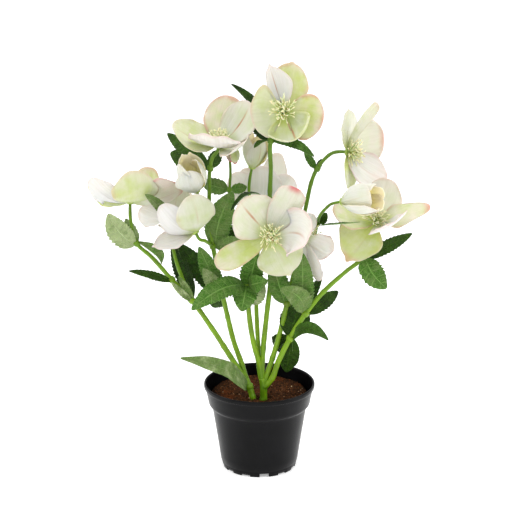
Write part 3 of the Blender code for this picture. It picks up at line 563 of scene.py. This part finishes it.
BUDS = {
    "bud_half_open": [
        Petal((-13, -5, 36), 22, 7, 0.4, 0.2, 0.0, cup=0.5, inner=1.0, beak=0.05, taper=0.16),
        Petal((-6, 1, 36), 24, 7, 0.4, 0.2, 0.0, cup=0.5, inner=1.0, beak=0.05, taper=0.16),
        Petal((0, -9, 32), 30, 8, 0.35, 0.1, 0.0, cup=0.5, inner=0.7, beak=0.04, taper=0.16),
        Petal((-9, -17, 24), 30, 9, 0.3, 0.1, 0.0, cup=0.5, inner=0.7, taper=0.16),
        Petal((-15, -13, 29), 26, 7, 0.3, 0.1, 0.0, cup=0.5, inner=0.7, beak=0.04, taper=0.16)],
    "bud_right": [
        Petal((29, -21, 22), 24, 5, 0.3, 0.1, 0.0, cup=0.5, inner=1.0, taper=0.12),
        Petal((25, -31, 15), 26, 5.5, 0.3, 0.1, 0.2, cup=0.5, inner=0.8, taper=0.12),
        Petal((31, -31, 1), 26, 6, 0.25, 0.1, 0.0, cup=0.5, inner=0.8, beak=0.04, taper=0.12),
        Petal((38, -20, 1), 25, 5, 0.5, 0.3, 0.0, cup=0.5, inner=1.0, taper=0.12),
        Petal((38, -15, 15), 25, 5, 0.5, 0.3, 0.0, cup=0.5, inner=1.0, taper=0.12)],
    "bud_back": [
        Petal((-4, -7, 33), 20, 5, 0.4, 0.2, 0.0, cup=0.5, inner=0.6),
        Petal((8, -10, 30), 22, 6, 0.45, 0.3, 0.4, cup=0.5, inner=0.6),
        Petal((16, -2, 27), 20, 6, 0.3, 0.2, 0.1, cup=0.5, inner=0.6),
        Petal((11, 8, 31), 20, 5, 0.2, 0.8, 0.1, cup=0.5, inner=0.8),
        Petal((-1, 5, 34), 19, 5, 0.2, 0.8, 0.1, cup=0.5, inner=0.8)],
    "bud_nodding": [
        Petal((5, -4, -16), 10, 3, 0.8, 0.9, cup=0.5, red=0.8),
        Petal((8, 0, -13), 9, 3, 1.0, 0.2, cup=0.5),
        Petal((4, 4, -14), 8, 3, 0.9, 0.2, cup=0.5, red=0.2),
        Petal((1, 0, -15), 8, 3, 0.2, 1.0, cup=0.5, red=1.0)],
}


def turned_about(vector, axis, degrees):
    """A vector turned about a unit axis by an angle: its parts along, beside and across it."""
    angle = math.radians(degrees)
    return (between(vector, np.cross(axis, vector), angle)
            + axis * (axis @ vector) * (1 - math.cos(angle)))


def sheet(points, fields):
    """A closed shell of cloth: points along rows by across columns, moved half the cloth's
    thickness along the surface's normal to each side, and joined round the rim. The field called
    cloth has 1 more in its third part on the under side."""
    ahead, beside = np.gradient(points, axis=0), np.gradient(points, axis=1)
    over = unit(np.cross(ahead, beside)) * CLOTH_THICKNESS / 2
    rows, columns = points.shape[:2]
    count = rows * columns
    index = np.arange(count).reshape(rows, columns)
    rim = np.concatenate([index[0, :-1], index[:-1, -1], index[-1, :0:-1], index[:0:-1, 0]])
    after = np.roll(rim, -1)
    under = grid_faces(rows, columns)
    edge = np.stack([after + count, rim + count, rim, after], -1)
    both = np.concatenate([(points + over).reshape(-1, 3), (points - over).reshape(-1, 3)])
    doubled = {name: np.concatenate([values.reshape(-1, 3)] * 2) for name, values in fields.items()}
    doubled["cloth"][count:, 2] += 1.0
    return Shell(both, [under[:, ::-1], under + count, edge], doubled, 0)


def blade(root, tip, face, width, bow, sweep, half_at, rise_at, rows, columns, lag, blunt, least):
    """The middle surface of a petal or leaf, how far across and along it each point is, from -1
    to 1 and 0 to 1, and the same in mm.

    The midrib is the quadratic curve from root to tip that bows away from face and sweeps to one
    side. At s along and a across, a point is the midrib's at s times one less lag times a to the
    power blunt, plus a times the half-width to the side, plus the rise there towards face.
    """
    chord = unit(tip - root)
    normal = unit(face - chord * (face @ chord))
    bend = (root + tip) / 2 - normal * 2 * bow + np.cross(normal, chord) * 2 * sweep
    s = np.linspace(0, 1, rows)[:, None]
    a = np.linspace(-1, 1, columns)[None, :]
    reach = (s * (1 - lag * np.abs(a) ** blunt))[..., None]
    ahead = unit((1 - reach) * (bend - root) + reach * (tip - bend))
    up = unit(normal - ahead * (ahead @ normal)[..., None])
    half = np.maximum(width / 2 * half_at(s, a), least)
    middle = root * (1 - reach) ** 2 + bend * 2 * reach * (1 - reach) + tip * reach ** 2
    points = middle + np.cross(up, ahead) * (half * a)[..., None]
    points = points + up * rise_at(s, a, half)[..., None]
    length = np.linalg.norm(tip - root)
    a, s = np.broadcast_arrays(a, s)
    return points, a, s, np.stack([half * a, length * reach[..., 0], 0 * a], -1)


def petal_shell(disc, petal, roll, seed):
    """One petal. Half-width is a sine of the way along to the power full, narrow at the claw and
    round at the tip, more on one side by skew. Its rise is a cup that grows with across squared, a
    ruffle of two waves at the edge, a crease along the midrib, and a curl of the last quarter."""
    centre, axis = placed(disc)
    reach = np.array(petal.tip, float)
    outward = unit(reach - axis * (reach @ axis))
    root = centre + outward * PETAL_ROOT_RADIUS
    chord = unit(centre + reach - root)
    face = turned_about(np.cross(chord, np.cross(axis, outward)), chord, petal.roll + roll)
    draw = np.random.default_rng(seed)
    phase, turns = draw.uniform(0, 6.3, 3), draw.uniform(1.6, 2.6, 3)

    def half_at(s, a):
        uneven = 1 + 0.035 * np.sin(turns[0] * 3 * s + phase[0]) * np.abs(a) + petal.skew * a
        return np.sin(math.pi * (0.01 + 0.70 * s)) ** petal.full * uneven

    def rise_at(s, a, half):
        edge = np.abs(a) ** 2.6 * np.sin(math.pi * np.clip(s, 0, 1) ** 0.8) ** 0.5
        waves = np.sin(turns[1] * 4.2 * s + phase[1] + 1.9 * a) + 0.5 * np.sin(
            turns[2] * 8.0 * s + phase[2] - 2.0 * a)
        end = np.clip((s - 0.72) / 0.28, 0, 1) ** 2
        frill = np.sin(turns[0] * 3.0 * a + phase[2]) * end * 0.6
        crease = np.exp(-(a / 0.09) ** 2) * np.sin(math.pi * s ** 0.7)
        return (petal.cup * half * a ** 2 + petal.ruffle * half * (edge * waves + frill)
                - 0.55 * crease + petal.curl * half * end)

    points, a, s, cloth = blade(root, centre + reach, face, petal.width, petal.bow, petal.sweep,
                                half_at, rise_at, PETAL_ROWS, PETAL_COLUMNS, lag=petal.taper,
                                blunt=2.6, least=1.2)
    peak = petal.beak * np.linalg.norm(reach) * s ** 10 * np.exp(-(a / 0.16) ** 2)
    points = points + chord * peak[..., None]
    tint = np.stack(np.broadcast_arrays(petal.lime, petal.blush, petal.rib + 0 * a), -1)
    dye = np.stack(np.broadcast_arrays(petal.inner, petal.red, 0 * a), -1)
    cloth = cloth + np.array([seed * 90.0, 0.0, 0.0])
    return sheet(points, {"blade": np.stack([a, s, 0 * a + seed], -1), "tint": tint,
                          "dye": dye, "cloth": cloth})


def disc_shell(disc):
    """The calyx disc: a low round boss on the stem's end, turned from a profile about its axis."""
    profile = np.array([(-1.55, 1.2), (-1.5, 2.1), (-1.15, 3.1), (-0.7, 3.7), (0.2, 3.8),
                        (0.8, 3.4), (1.2, 2.4)])
    centre, axis = placed(disc)
    line = centre + axis * profile[:, :1]
    across = (0.13, 0.2, 0.97) if abs(axis[1]) > 0.8 else (0.0, 1.0, 0.0)
    return lofted(rings_along(line, profile[:, 1:], DISC_SIDES, across), slot=1)


# Polyester cloth, dyed and pressed: matt, thin enough to glow, with veins that fan from the claw
petal_finish, add = new_finish("pressed_polyester_petal")
blade_at, tint, dye = [
    add("SeparateXYZ", add("Attribute", attribute_name=field).outputs["Vector"])
    for field in ("blade", "tint", "dye")]
cloth = add("Attribute", attribute_name="cloth").outputs["Vector"]
across = add("Math", blade_at, operation="ABSOLUTE")
along = blade_at.outputs["Y"]
clouds = add("TexNoise", {"Vector": cloth, "Scale": 0.07, "Detail": 3.0})
vein_at = add("CombineXYZ", (add("Math", (blade_at, 11.0), operation="MULTIPLY"),
                             add("Math", (along, 1.6), operation="MULTIPLY"),
                             blade_at.outputs["Z"]))
veins = add("TexNoise", {"Vector": vein_at, "Scale": 1.0, "Detail": 4.0, "Distortion": 0.4})
weave = add("TexNoise", {"Vector": cloth, "Scale": 1.8, "Detail": 1.0})
green_place = add("MapRange", (clouds, 0.32, 0.68, 0.6, 1.25))
fade = add("MapRange", (along, 0.1, 1.0, 1.15, 0.75))
green = add("Math", (green_place, fade), operation="MULTIPLY")
green = add("Math", (green, tint), operation="MULTIPLY", use_clamp=True)
dyed = add("ValToRGB", green, [(0.0, "#CDCBCB"), (0.3, "#C4C7B7"), (0.65, "#B3BC8F"),
                               (1.0, "#A8B467")])
claw = add("MapRange", (along, 0.02, 0.3, 0.7, 0.0), interpolation_type="SMOOTHSTEP")
line = add("MapRange", (veins, 0.42, 0.72, 0.0, 0.22))
side = add("Math", (across, 5.0), operation="POWER")
end = add("Math", (along, 9.0), operation="POWER")
edge = add("Math", (side, end), operation="MAXIMUM")
wander = add("MapRange", (clouds, 0.3, 0.7, -0.35, 0.3))
edge = add("Math", (edge, wander), operation="ADD")
edge = add("MapRange", (edge, 0.25, 1.0), interpolation_type="SMOOTHSTEP")
flush = add("MapRange", (clouds, 0.6, 0.38, 0.0, 0.5))
rib = add("MapRange", (across, 0.01, 0.075, 1.0, 0.0), interpolation_type="SMOOTHSTEP")
strongest = add("ValToRGB", along, [(0.2, "#000000"), (0.5, "#FFFFFF"), (0.7, "#D0D0D0"),
                                    (0.9, "#404040")])
side_at = add("SeparateXYZ", cloth)
within = add("Math", (1.0, side_at.outputs["Z"]), operation="SUBTRACT", use_clamp=True)
cream = add("ValToRGB", along, [(0.1, "#CCC858"), (0.5, "#F6EBA2"), (0.9, "#F8E8C4")])
red_end = add("MapRange", (along, 0.84, 1.0), interpolation_type="SMOOTHSTEP")
in_middle = add("MapRange", (across, 0.15, 0.6, 1.0, 0.0), interpolation_type="SMOOTHSTEP")
blush, ribbed, red = tint.outputs["Y"], tint.outputs["Z"], dye.outputs["Y"]
# Each dye is laid over the ones before it, by the product of its shares
for colour, share, *factors in (("#93A545", claw), ("#A3A684", line), ("#B98480", edge, blush),
                                ("#CDA6A8", flush, along, blush),
                                ("#A87050", rib, strongest, ribbed), (cream, within, dye),
                                ("#B85A60", red_end, red, in_middle)):
    for factor in factors:
        share = add("Math", (share, factor), operation="MULTIPLY", use_clamp=True)
    dyed = add("MixRGB", (share, dyed, colour))
bumps = add("Math", (veins, 1.4, add("Math", (weave, 0.22), operation="MULTIPLY")),
            operation="MULTIPLY_ADD")
relief = add("Bump", {"Height": bumps, "Strength": 0.7, "Distance": 0.0007})
shader = add("BsdfPrincipled", {"Base Color": dyed, "Roughness": 0.68, "Normal": relief,
                                "Specular IOR Level": 0.3, "Subsurface Weight": 0.55,
                                "Subsurface Radius": (1.0, 0.9, 0.7), "Subsurface Scale": 0.0025,
                                "Sheen Weight": 0.08})
add("OutputMaterial", shader)

# Polyethylene, moulded: the pale green disc that the petals are glued to
disc_finish, add = new_finish("moulded_polyethylene_disc")
place = add("TexCoord").outputs["Object"]
clouds = add("TexNoise", {"Vector": place, "Scale": 260.0, "Detail": 2.0})
green = add("ValToRGB", clouds, [(0.3, "#86A142"), (0.7, "#A9BD5C")])
shader = add("BsdfPrincipled", {"Base Color": green, "Roughness": 0.5})
add("OutputMaterial", shader)

for number, (name, petals) in enumerate({**BLOOMS, **BUDS}.items()):
    roll, node = (PETAL_ROLL, "petals_" + name) if name in BLOOMS else (BUD_ROLL, name)
    shells = [petal_shell(DISCS[name], petal, roll, 10 * number + index)
              for index, petal in enumerate(petals)]
    thing = make_piece("pressed_" + node, shells + [disc_shell(DISCS[name])],
                       [petal_finish, disc_finish], node)


# Flower centres. Stamens of fine polyester threads, dipped at their ends and bundled round four
# green carpels, in a domed plastic seat that is pushed on to the calyx disc.
THREADS = 66
THREAD_LENGTH = 15.5
THREAD_RADIUS = 0.47
CARPELS = 4
CARPEL_LENGTH = 8.0
GOLDEN_ANGLE = 2.39996  # radians
# How far each bloom's stamens lean out, in degrees
SPLAYS = {"top": 34, "upper_left": 17, "far_left": 28, "left": 20, "front": 25, "behind_front": 30,
          "upper_right": 36, "right": 27, "back": 6, "back_left": 28}


def frame_of(axis):
    """Two unit vectors square to an axis and to each other."""
    helper = np.array([0.0, 0.0, 1.0]) if abs(axis[2]) < 0.9 else np.array([1.0, 0.0, 0.0])
    first = unit(np.cross(helper, axis))
    return first, np.cross(axis, first)


def thread_shell(foot, lean, outward, length, curl, kind):
    """A thread whose line leans out and curls: foot, plus length times the way along on lean, plus
    curl times its cube to the outside, less half of that to the fourth power along lean, plus a
    wave to the side. Its radius swells a little to a bead at the end."""
    t = np.linspace(0, 1, 13)[:, None]
    line = foot + lean * length * t + outward * curl * t ** 3 - lean * abs(curl) * 0.5 * t ** 4
    line = line + np.cross(lean, outward) * 2.2 * np.sin(5.0 * t + 9.0 * kind) * t
    bead = np.exp(-((t[:, 0] - 0.93) / 0.07) ** 2)
    radii = THREAD_RADIUS * (1 - 0.25 * t[:, 0]) + bead * THREAD_RADIUS * 0.7
    radii[-1] *= 0.5
    helper = np.array([0.31, 0.9, 0.3])
    rings = rings_along(line, radii[:, None], 5, np.cross(lean, helper))
    field = np.broadcast_to(np.stack([t[:, 0], 0 * t[:, 0] + kind, 0 * t[:, 0]], -1)[:, None],
                            rings.shape)
    return lofted(rings, {"thread": field})


def centre_shells(disc, splay, seed):
    """The seat, its threads in three rings that splay more from the inside out, and the carpels."""
    draw = np.random.default_rng(seed)
    centre, axis = placed(disc)
    first, second = frame_of(axis)
    foot = centre + axis * (CALYX_THICKNESS / 2 + GAP * 0.5)
    dome = np.array([(0.0, 1.5), (0.1, 2.1), (0.7, 2.25), (1.3, 1.9), (1.7, 1.1)])
    shells = [lofted(rings_along(foot + axis * dome[:, :1], dome[:, 1:], 14, second))]
    shells[0].fields["thread"] = np.zeros((len(shells[0].points), 3))
    for index in range(THREADS):
        ring = (index % 3) / 2
        around = index * GOLDEN_ANGLE + draw.uniform(-0.25, 0.25)
        outward = between(first, second, around)
        angle = math.radians(splay * (0.35 + 1.35 * ring) * draw.uniform(0.75, 1.2))
        lean = between(axis, outward, angle)
        length = THREAD_LENGTH * draw.uniform(0.72, 1.08)
        curl = draw.uniform(-4.5, 7.0)
        root = foot + axis * 1.0 + outward * (0.7 + 1.2 * ring)
        shells.append(thread_shell(root, lean, outward, length, curl, draw.uniform(0.2, 1.0)))
    for index in range(CARPELS):
        around = 2 * math.pi * index / CARPELS + 0.4
        outward = between(first, second, around)
        t = np.linspace(0, 1, 12)[:, None]
        line = foot + axis * (0.6 + CARPEL_LENGTH * t) + outward * (0.5 + 1.1 * np.sin(3 * t))
        radii = 0.95 * np.sin(math.pi * (0.25 + 0.6 * t ** 1.2)) ** 1.5 + 0.14
        rings = rings_along(line, radii, 8, second)
        field = np.zeros(rings.shape) + [0.0, 0.0, 1.0]
        shells.append(lofted(rings, {"thread": field}))
    return shells


# Polyester thread, dipped: pale yellow-green filaments with creamy beads, and olive-green carpels
thread_finish, add = new_finish("dipped_polyester_threads")
thread = add("SeparateXYZ", add("Attribute", attribute_name="thread").outputs["Vector"])
length_hue = add("ValToRGB", thread, [(0.0, "#8A9C38"), (0.3, "#AEBD5C"), (0.6, "#C6CF8C"),
                                      (0.85, "#D6D8A4"), (1.0, "#DCD8A8")])
pale = add("Math", (thread.outputs["Y"], 0.35), operation="MULTIPLY")
hue = add("MixRGB", (pale, length_hue, "#E3E1CB"))
carpel = add("MixRGB", (thread.outputs["Z"], hue, "#889A38"))
shader = add("BsdfPrincipled", {"Base Color": carpel, "Roughness": 0.55, "Subsurface Weight": 0.2,
                                "Subsurface Scale": 0.0015})
add("OutputMaterial", shader)
for number, (name, splay) in enumerate(SPLAYS.items()):
    thing = make_piece("thread_centre_" + name, centre_shells(DISCS[name], splay, 40 + number),
                       [thread_finish], "centre_" + name)


# Leaves. Toothed leaflets, die cut from green polyester cloth with a wire glued under the midrib
# and pressed hot for veins and waves, each set in a short moulded sleeve pushed on to a stem.
FRONT = (0.0, -1.0, 0.35)
UP = (0.0, 0.0, 1.0)
FRONT_UP = (0.0, -0.7, 0.7)
SLEEVE_LENGTH = 5.0
SLEEVE_WALL = 1.1
SLEEVE_PLAY = 0.12
LEAF_ROOT_HALF = 0.9
TOOTH_SPACING = 3.8
SIDE_VEIN_SPACING = 6.5
LEAF_COLUMNS = 17
LEAST_HALF = 0.35
SLEEVE_SIDES = 18
Leaf = namedtuple("Leaf", "tip width tone arch sweep facing wave cut spread",
                  defaults=(0.3, 0, 0, FRONT, 0.07, 0.17, 0.85))
# For each set, its stem, the stem's point that the sleeve sits at, and its leaflets. A leaflet's tip
# is a place in the part's frame, and its tone runs from 0, the darkest, to 1.
LEAF_SETS = {
    "leaves_top": ("top", 7, [
        Leaf((-5, -20, 332), 9, 0.3, -2, 0, UP), Leaf((52, -18, 323), 11, 0.35, -9, 0, FRONT_UP),
        Leaf((-27, 27, 383), 11, 0.1, 6, -9), Leaf((-10, 12, 354), 14, 0.05)]),
    "leaves_upper_left": ("left_inner", 9, [
        Leaf((-86, 22, 316), 25, 0.25), Leaf((-89, 28, 334), 17, 0.25),
        Leaf((-39, 14, 321), 14, 0.3)]),
    "leaves_far_left": ("left_outer", 6, [
        Leaf((-144, -20, 267), 24, 1.0, 0, 4), Leaf((-129, -6, 258), 12, 0.9),
        Leaf((-95, -14, 214), 9, 0.7, -18, 0, FRONT_UP, 0.1, 0.04)]),
    "leaf_low_left": ("left_outer", 4, [Leaf((-125, -34, 214), 10, 0.2, -2, 0, FRONT_UP)]),
    "leaves_left_dark": ("left_outer", 3, [
        Leaf((-86, 26, 224), 18, 0.05), Leaf((-81, 10, 202), 10, 0.15),
        Leaf((-78, -20, 204), 8, 0.75), Leaf((-85, -24, 199), 7, 0.9)]),
    "leaves_left_light": ("left_inner", 4, [
        Leaf((-58, -18, 233), 20, 0.6), Leaf((-54, -24, 213), 16, 0.85),
        Leaf((-46, 10, 162), 17, 0.2), Leaf((-80, 18, 226), 22, 0.1)]),
    "leaves_left_mid": ("left_inner", 6, [
        Leaf((-25, -16, 287), 28, 0.68, 0, 4), Leaf((-16, -26, 243), 14, 0.7),
        Leaf((-9, 10, 246), 22, 0.1)]),
    "leaves_centre": ("front", 4, [
        Leaf((-65, -38, 176), 25, 0.57, -14, 0, FRONT_UP), Leaf((-17, -34, 173), 26, 0.55, -6),
        Leaf((-2, -28, 229), 24, 0.5), Leaf((8, -34, 204), 20, 0.6, -3)]),
    "leaf_centre_small": ("front", 3, [Leaf((5, -14, 193), 17, 0.95)]),
    "leaves_centre_right": ("upper_right", 3, [Leaf((12, -22, 219), 22, 0.62)]),
    "leaves_right_fork": ("right", 4, [
        Leaf((41, -34, 232), 23, 0.66), Leaf((20, -40, 198), 22, 0.74, -3, -7),
        Leaf((77, -6, 184), 16, 0.12, spread=0.95), Leaf((62, -2, 203), 9, 0.15)]),
    "leaves_right_outer": ("right", 7, [
        # The lower leaflet's tone is partly its green and partly a painted highlight: it is set lighter
        # to stand for the gloss that light puts on it.
        Leaf((147, -16, 246), 14, 0.2), Leaf((122, -38, 198), 24, 0.58, -4, -3)]),
    "leaves_right_inner": ("right_bud", 5, [
        Leaf((65, -4, 263), 11, 0.3), Leaf((94, -61, 271), 9, 0.35, 0, -5, UP)]),
    "leaf_front_arch": ("top", 5, [Leaf((-27, -28, 272), 10, 0.1, -12, 0, UP)]),
    "leaf_basal": ("left_root", 2, [
        Leaf((-76, -50, 131), 19, 0.8, -15, 0, FRONT_UP, 0.14, 0.02, 0.62)]),
    "leaves_right_low": ("right", 3, [
        Leaf((41, 2, 172), 30, 0.15, cut=0.05), Leaf((27, -2, 98), 20, 0.2, cut=0.04),
        Leaf((67, -30, 142), 13, 0.3, -14, 6, FRONT_UP, 0.05, 0.03),
        Leaf((17, 8, 118), 25, 0.15, cut=0.04)]),
    "leaves_back": ("nodding_bud", 3, [
        Leaf((-56, 26, 285), 17, 0.7), Leaf((-12, 24, 281), 11, 0.65)]),
    "leaves_upper_right": ("upper_right", 8, [
        Leaf((43, 2, 323), 8, 0.45), Leaf((60, 14, 312), 6, 0.2)]),
}
ADDED_SETS = {"leaf_back_left": ("left_back", 3, [Leaf((-108, -33, 290), 11, 0.8, 0, -7, spread=1.6)])}


def leaf_shell(root, leaf, seed):
    """One leaflet. Half-width is a stalk plus a sine of the way along to the power of its spread,
    cut by teeth that lean to the tip. It folds up from the midrib, puffs between side veins and
    waves at the edge."""
    tip = np.array(leaf.tip, float)
    length = np.linalg.norm(tip - root)
    teeth = max(round(length / TOOTH_SPACING), 5)
    draw = np.random.default_rng(seed)
    phase = draw.uniform(0, 6.3, 3)
    side_veins = max(round(length / SIDE_VEIN_SPACING), 4)

    def half_at(s, a):
        plain = 0.06 + 0.94 * np.clip(np.sin(math.pi * s ** leaf.spread), 0, 1) ** 0.78
        bite = (s * teeth + 0.15 * np.sign(a)) % 1.0
        cut = leaf.cut * np.clip((s - 0.18) / 0.2, 0, 1) * np.clip(1.15 - s, 0, 1) * np.abs(a) ** 3
        return plain * (1.03 - cut * (1 - bite ** 1.5) * 1.5)

    def rise_at(s, a, half):
        fold = 0.12 * half * a ** 2 + 0.07 * half * np.abs(a)
        swing = np.sin(2.1 * math.pi * s + phase[0] + 0.9 * np.sign(a))
        swing = swing + 0.5 * np.sin(5.0 * math.pi * s + phase[1] + 2.0 * np.sign(a))
        puff = np.abs(np.sin(math.pi * (s * side_veins - 0.55 * np.abs(a)))) ** 0.6
        groove = np.exp(-(a / 0.07) ** 2)
        body = np.sin(math.pi * np.clip(s, 0, 1))
        return (fold + leaf.wave * half * np.abs(a) ** 1.7 * swing * 1.6
                + 0.06 * half * puff * body - 0.35 * groove * body)

    rows = int(np.clip(teeth * 5 + 1, 36, 96))
    points, a, s, cloth = blade(root, tip, np.array(leaf.facing, float), leaf.width, leaf.arch,
                                leaf.sweep, half_at, rise_at, rows, LEAF_COLUMNS, lag=0.0,
                                blunt=2.0, least=LEAST_HALF)
    stalk = np.clip(1 - s / 0.06, 0, 1) * (LEAF_ROOT_HALF - LEAST_HALF)
    beside = np.gradient(points, axis=1)
    beside = beside / np.maximum(np.linalg.norm(beside, axis=-1, keepdims=True), 1e-9)
    points = points + beside * (stalk * a)[..., None]
    tint = np.stack([0 * a + leaf.tone, 0 * a + side_veins, 0 * a + draw.random()], -1)
    cloth = cloth + np.array([seed * 70.0, 0.0, 0.0])
    return sheet(points, {"blade": np.stack([a, s, 0 * a + seed], -1), "tint": tint,
                          "cloth": cloth})


def sleeve_shell(node, axis, inner, outer):
    """A short sleeve: a ring turned about the stem from a closed loop of places along and out."""
    half = SLEEVE_LENGTH / 2
    loop = np.array([(-half, inner), (-half, outer - 0.5), (-half + 0.5, outer - 0.1),
                     (0, outer + 0.15), (half - 0.5, outer - 0.1), (half, outer - 0.5),
                     (half, inner)])
    first, second = frame_of(axis)
    angle = round_angles(SLEEVE_SIDES)[None, :, None]
    ray = between(first, second, angle)
    rings = node + axis * loop[:, :1, None] + ray * loop[:, 1:, None]
    faces = grid_faces(len(loop) + 1, SLEEVE_SIDES, True) % (len(loop) * SLEEVE_SIDES)
    return Shell(rings.reshape(-1, 3), [faces], {}, 1)


# Polyester cloth, dyed and pressed: dark above with pale net veins, grey-green underneath
leaf_finish, add = new_finish("pressed_polyester_leaf")
blade_at, tint = [
    add("SeparateXYZ", add("Attribute", attribute_name=field).outputs["Vector"])
    for field in ("blade", "tint")]
cloth = add("Attribute", attribute_name="cloth").outputs["Vector"]
cloth_at = add("SeparateXYZ", cloth)
across = add("Math", blade_at, operation="ABSOLUTE")
lean = add("Math", (across, -0.55), operation="MULTIPLY")
vein_way = add("Math", (blade_at.outputs["Y"], tint.outputs["Y"], lean), operation="MULTIPLY_ADD")
wander = add("TexNoise", {"Vector": cloth, "Scale": 0.25, "Detail": 2.0})
wander = add("MapRange", (wander, 0.0, 1.0, -0.12, 0.12))
vein_way = add("Math", (vein_way, wander), operation="ADD")
side_vein = add("Math", (vein_way, 0.5), operation="PINGPONG")
side_vein = add("MapRange", (side_vein, 0.02, 0.11, 0.75, 0.0))
midrib = add("MapRange", (across, 0.03, 0.1, 1.0, 0.0))
net = add("TexVoronoi", {"Vector": cloth, "Scale": 0.42, "Randomness": 0.9},
          feature="DISTANCE_TO_EDGE")
net = add("MapRange", (net, 0.02, 0.13, 0.5, 0.0))
veins = add("Math", (side_vein, net), operation="MAXIMUM")
veins = add("Math", (veins, midrib), operation="MAXIMUM")
clouds = add("TexNoise", {"Vector": cloth, "Scale": 0.12, "Detail": 3.0})
shift = add("MapRange", (clouds, 0.3, 0.7, -0.12, 0.12))
tone = add("Math", (tint, shift), operation="ADD")
above = add("ValToRGB", tone, [(0.0, "#1B3108"), (0.3, "#30500E"), (0.55, "#426D1E"),
                               (0.8, "#667D42"), (1.0, "#A2B07E")])
vein_hue = add("ValToRGB", tone, [(0.0, "#2A440E"), (0.3, "#4B6E1B"), (0.55, "#86AE5A"),
                                  (0.8, "#84985C"), (1.0, "#B0BE8E")])
strength = add("Math", (veins, 0.6), operation="MULTIPLY")
above = add("MixRGB", (strength, above, vein_hue))
under = add("ValToRGB", clouds, [(0.3, "#6B874C"), (0.7, "#8AA56B")])
hue = add("MixRGB", (cloth_at.outputs["Z"], above, under))
weave = add("TexNoise", {"Vector": cloth, "Scale": 2.2, "Detail": 1.0})
bumps = add("Math", (weave, 0.3, add("Math", (veins, -1.0), operation="MULTIPLY")),
            operation="MULTIPLY_ADD")
relief = add("Bump", {"Height": bumps, "Strength": 0.9, "Distance": 0.0011})
shader = add("BsdfPrincipled", {"Base Color": hue, "Roughness": 0.5, "Normal": relief,
                                "Specular IOR Level": 0.18, "Subsurface Weight": 0.12,
                                "Subsurface Radius": (0.6, 1.0, 0.3), "Subsurface Scale": 0.0015})
add("OutputMaterial", shader)

for number, (name, (stem_name, index, leaves)) in enumerate({**LEAF_SETS, **ADDED_SETS}.items()):
    stem = STEMS[stem_name]
    route = stem_route(stem)
    last = len(route) - 1
    radius = stem.root_radius + (stem.tip_radius - stem.root_radius) * index / last
    node = route[index]
    axis = unit(route[index + 1] - route[index - 1])
    inner = radius * SLIM + SLEEVE_PLAY
    outer = inner + SLEEVE_WALL
    shells = [sleeve_shell(node, axis, inner, outer)]
    for order, leaf in enumerate(leaves):
        reach = np.array(leaf.tip, float) - node
        outward = unit(reach - axis * (reach @ axis))
        shells.append(leaf_shell(node + outward * (inner + 0.2), leaf,
                                 10 * number + order))
    stands_for = [name] if name in LEAF_SETS else []
    thing = make_piece("pressed_" + name, shells, [leaf_finish, stem_finish], *stands_for)


# Studio. A plain white floor and an even white surround, with wide soft lights at the sides, above
# and in front, so that the petals keep soft shading and the black pot a sheen down each side.
floor_finish, add = new_finish("matt_white_floor")
place = add("TexCoord").outputs["Object"]
shade = add("TexNoise", {"Vector": place, "Scale": 3.0})
white = add("ValToRGB", shade, [(0.0, "#F7F7F7"), (1.0, "#FAFAFA")])
shader = add("BsdfPrincipled", {"Base Color": white, "Roughness": 0.9, "Specular IOR Level": 0.1,
                                "Emission Strength": 0.3, "Emission Color": "#FFFFFF"})
add("OutputMaterial", shader)
floor_mesh = bpy.data.meshes.new("studio_floor")
floor_mesh.from_pydata([(-8, -4, 0), (8, -4, 0), (8, 12, 0), (-8, 12, 0)], [], [(0, 1, 2, 3)])
floor_mesh.materials.append(floor_finish)
floor = bpy.data.objects.new("studio_floor", floor_mesh)
bpy.context.scene.collection.objects.link(floor)

AIM = Vector((0.0, 0.0, 0.2))
surround = bpy.data.worlds.new("white_surround")
surround.use_nodes = True
bpy.context.scene.world = surround
glow = surround.node_tree.nodes["Background"].inputs
glow["Color"].default_value = linear("#FFFFFF")
glow["Strength"].default_value = 0.86
for name, place, size, power in (("left_softbox", (-1.4, -0.3, 1.1), 0.9, 11.0),
                                 ("right_softbox", (1.4, -0.3, 1.0), 0.9, 11.0),
                                 ("top_softbox", (0.0, 0.3, 1.9), 1.4, 13.5),
                                 ("front_softbox", (-0.3, -2.2, 1.5), 1.2, 10.0)):
    lamp = bpy.data.lights.new(name, "AREA")
    lamp.size = size
    lamp.energy = power
    thing = bpy.data.objects.new(name, lamp)
    thing.location = place
    thing.rotation_euler = (AIM - thing.location).to_track_quat("-Z", "Y").to_euler()
    bpy.context.scene.collection.objects.link(thing)

# Camera. At the photograph's angle: 1.9 m away and 18 degrees above the level, with a long lens,
# so that the plant's 41 cm fill the picture as they do in the photograph.
camera = bpy.data.objects.new("camera", bpy.data.cameras.new("camera"))
camera.location = (-0.0008, -1.8634, 0.8135)
camera.rotation_euler = (math.radians(72.21), 0.0, 0.0)
camera.data.sensor_width = 36.0
camera.data.lens = 140.0
bpy.context.scene.collection.objects.link(camera)
bpy.context.scene.camera = camera
bpy.context.scene.view_settings.view_transform = "Standard"
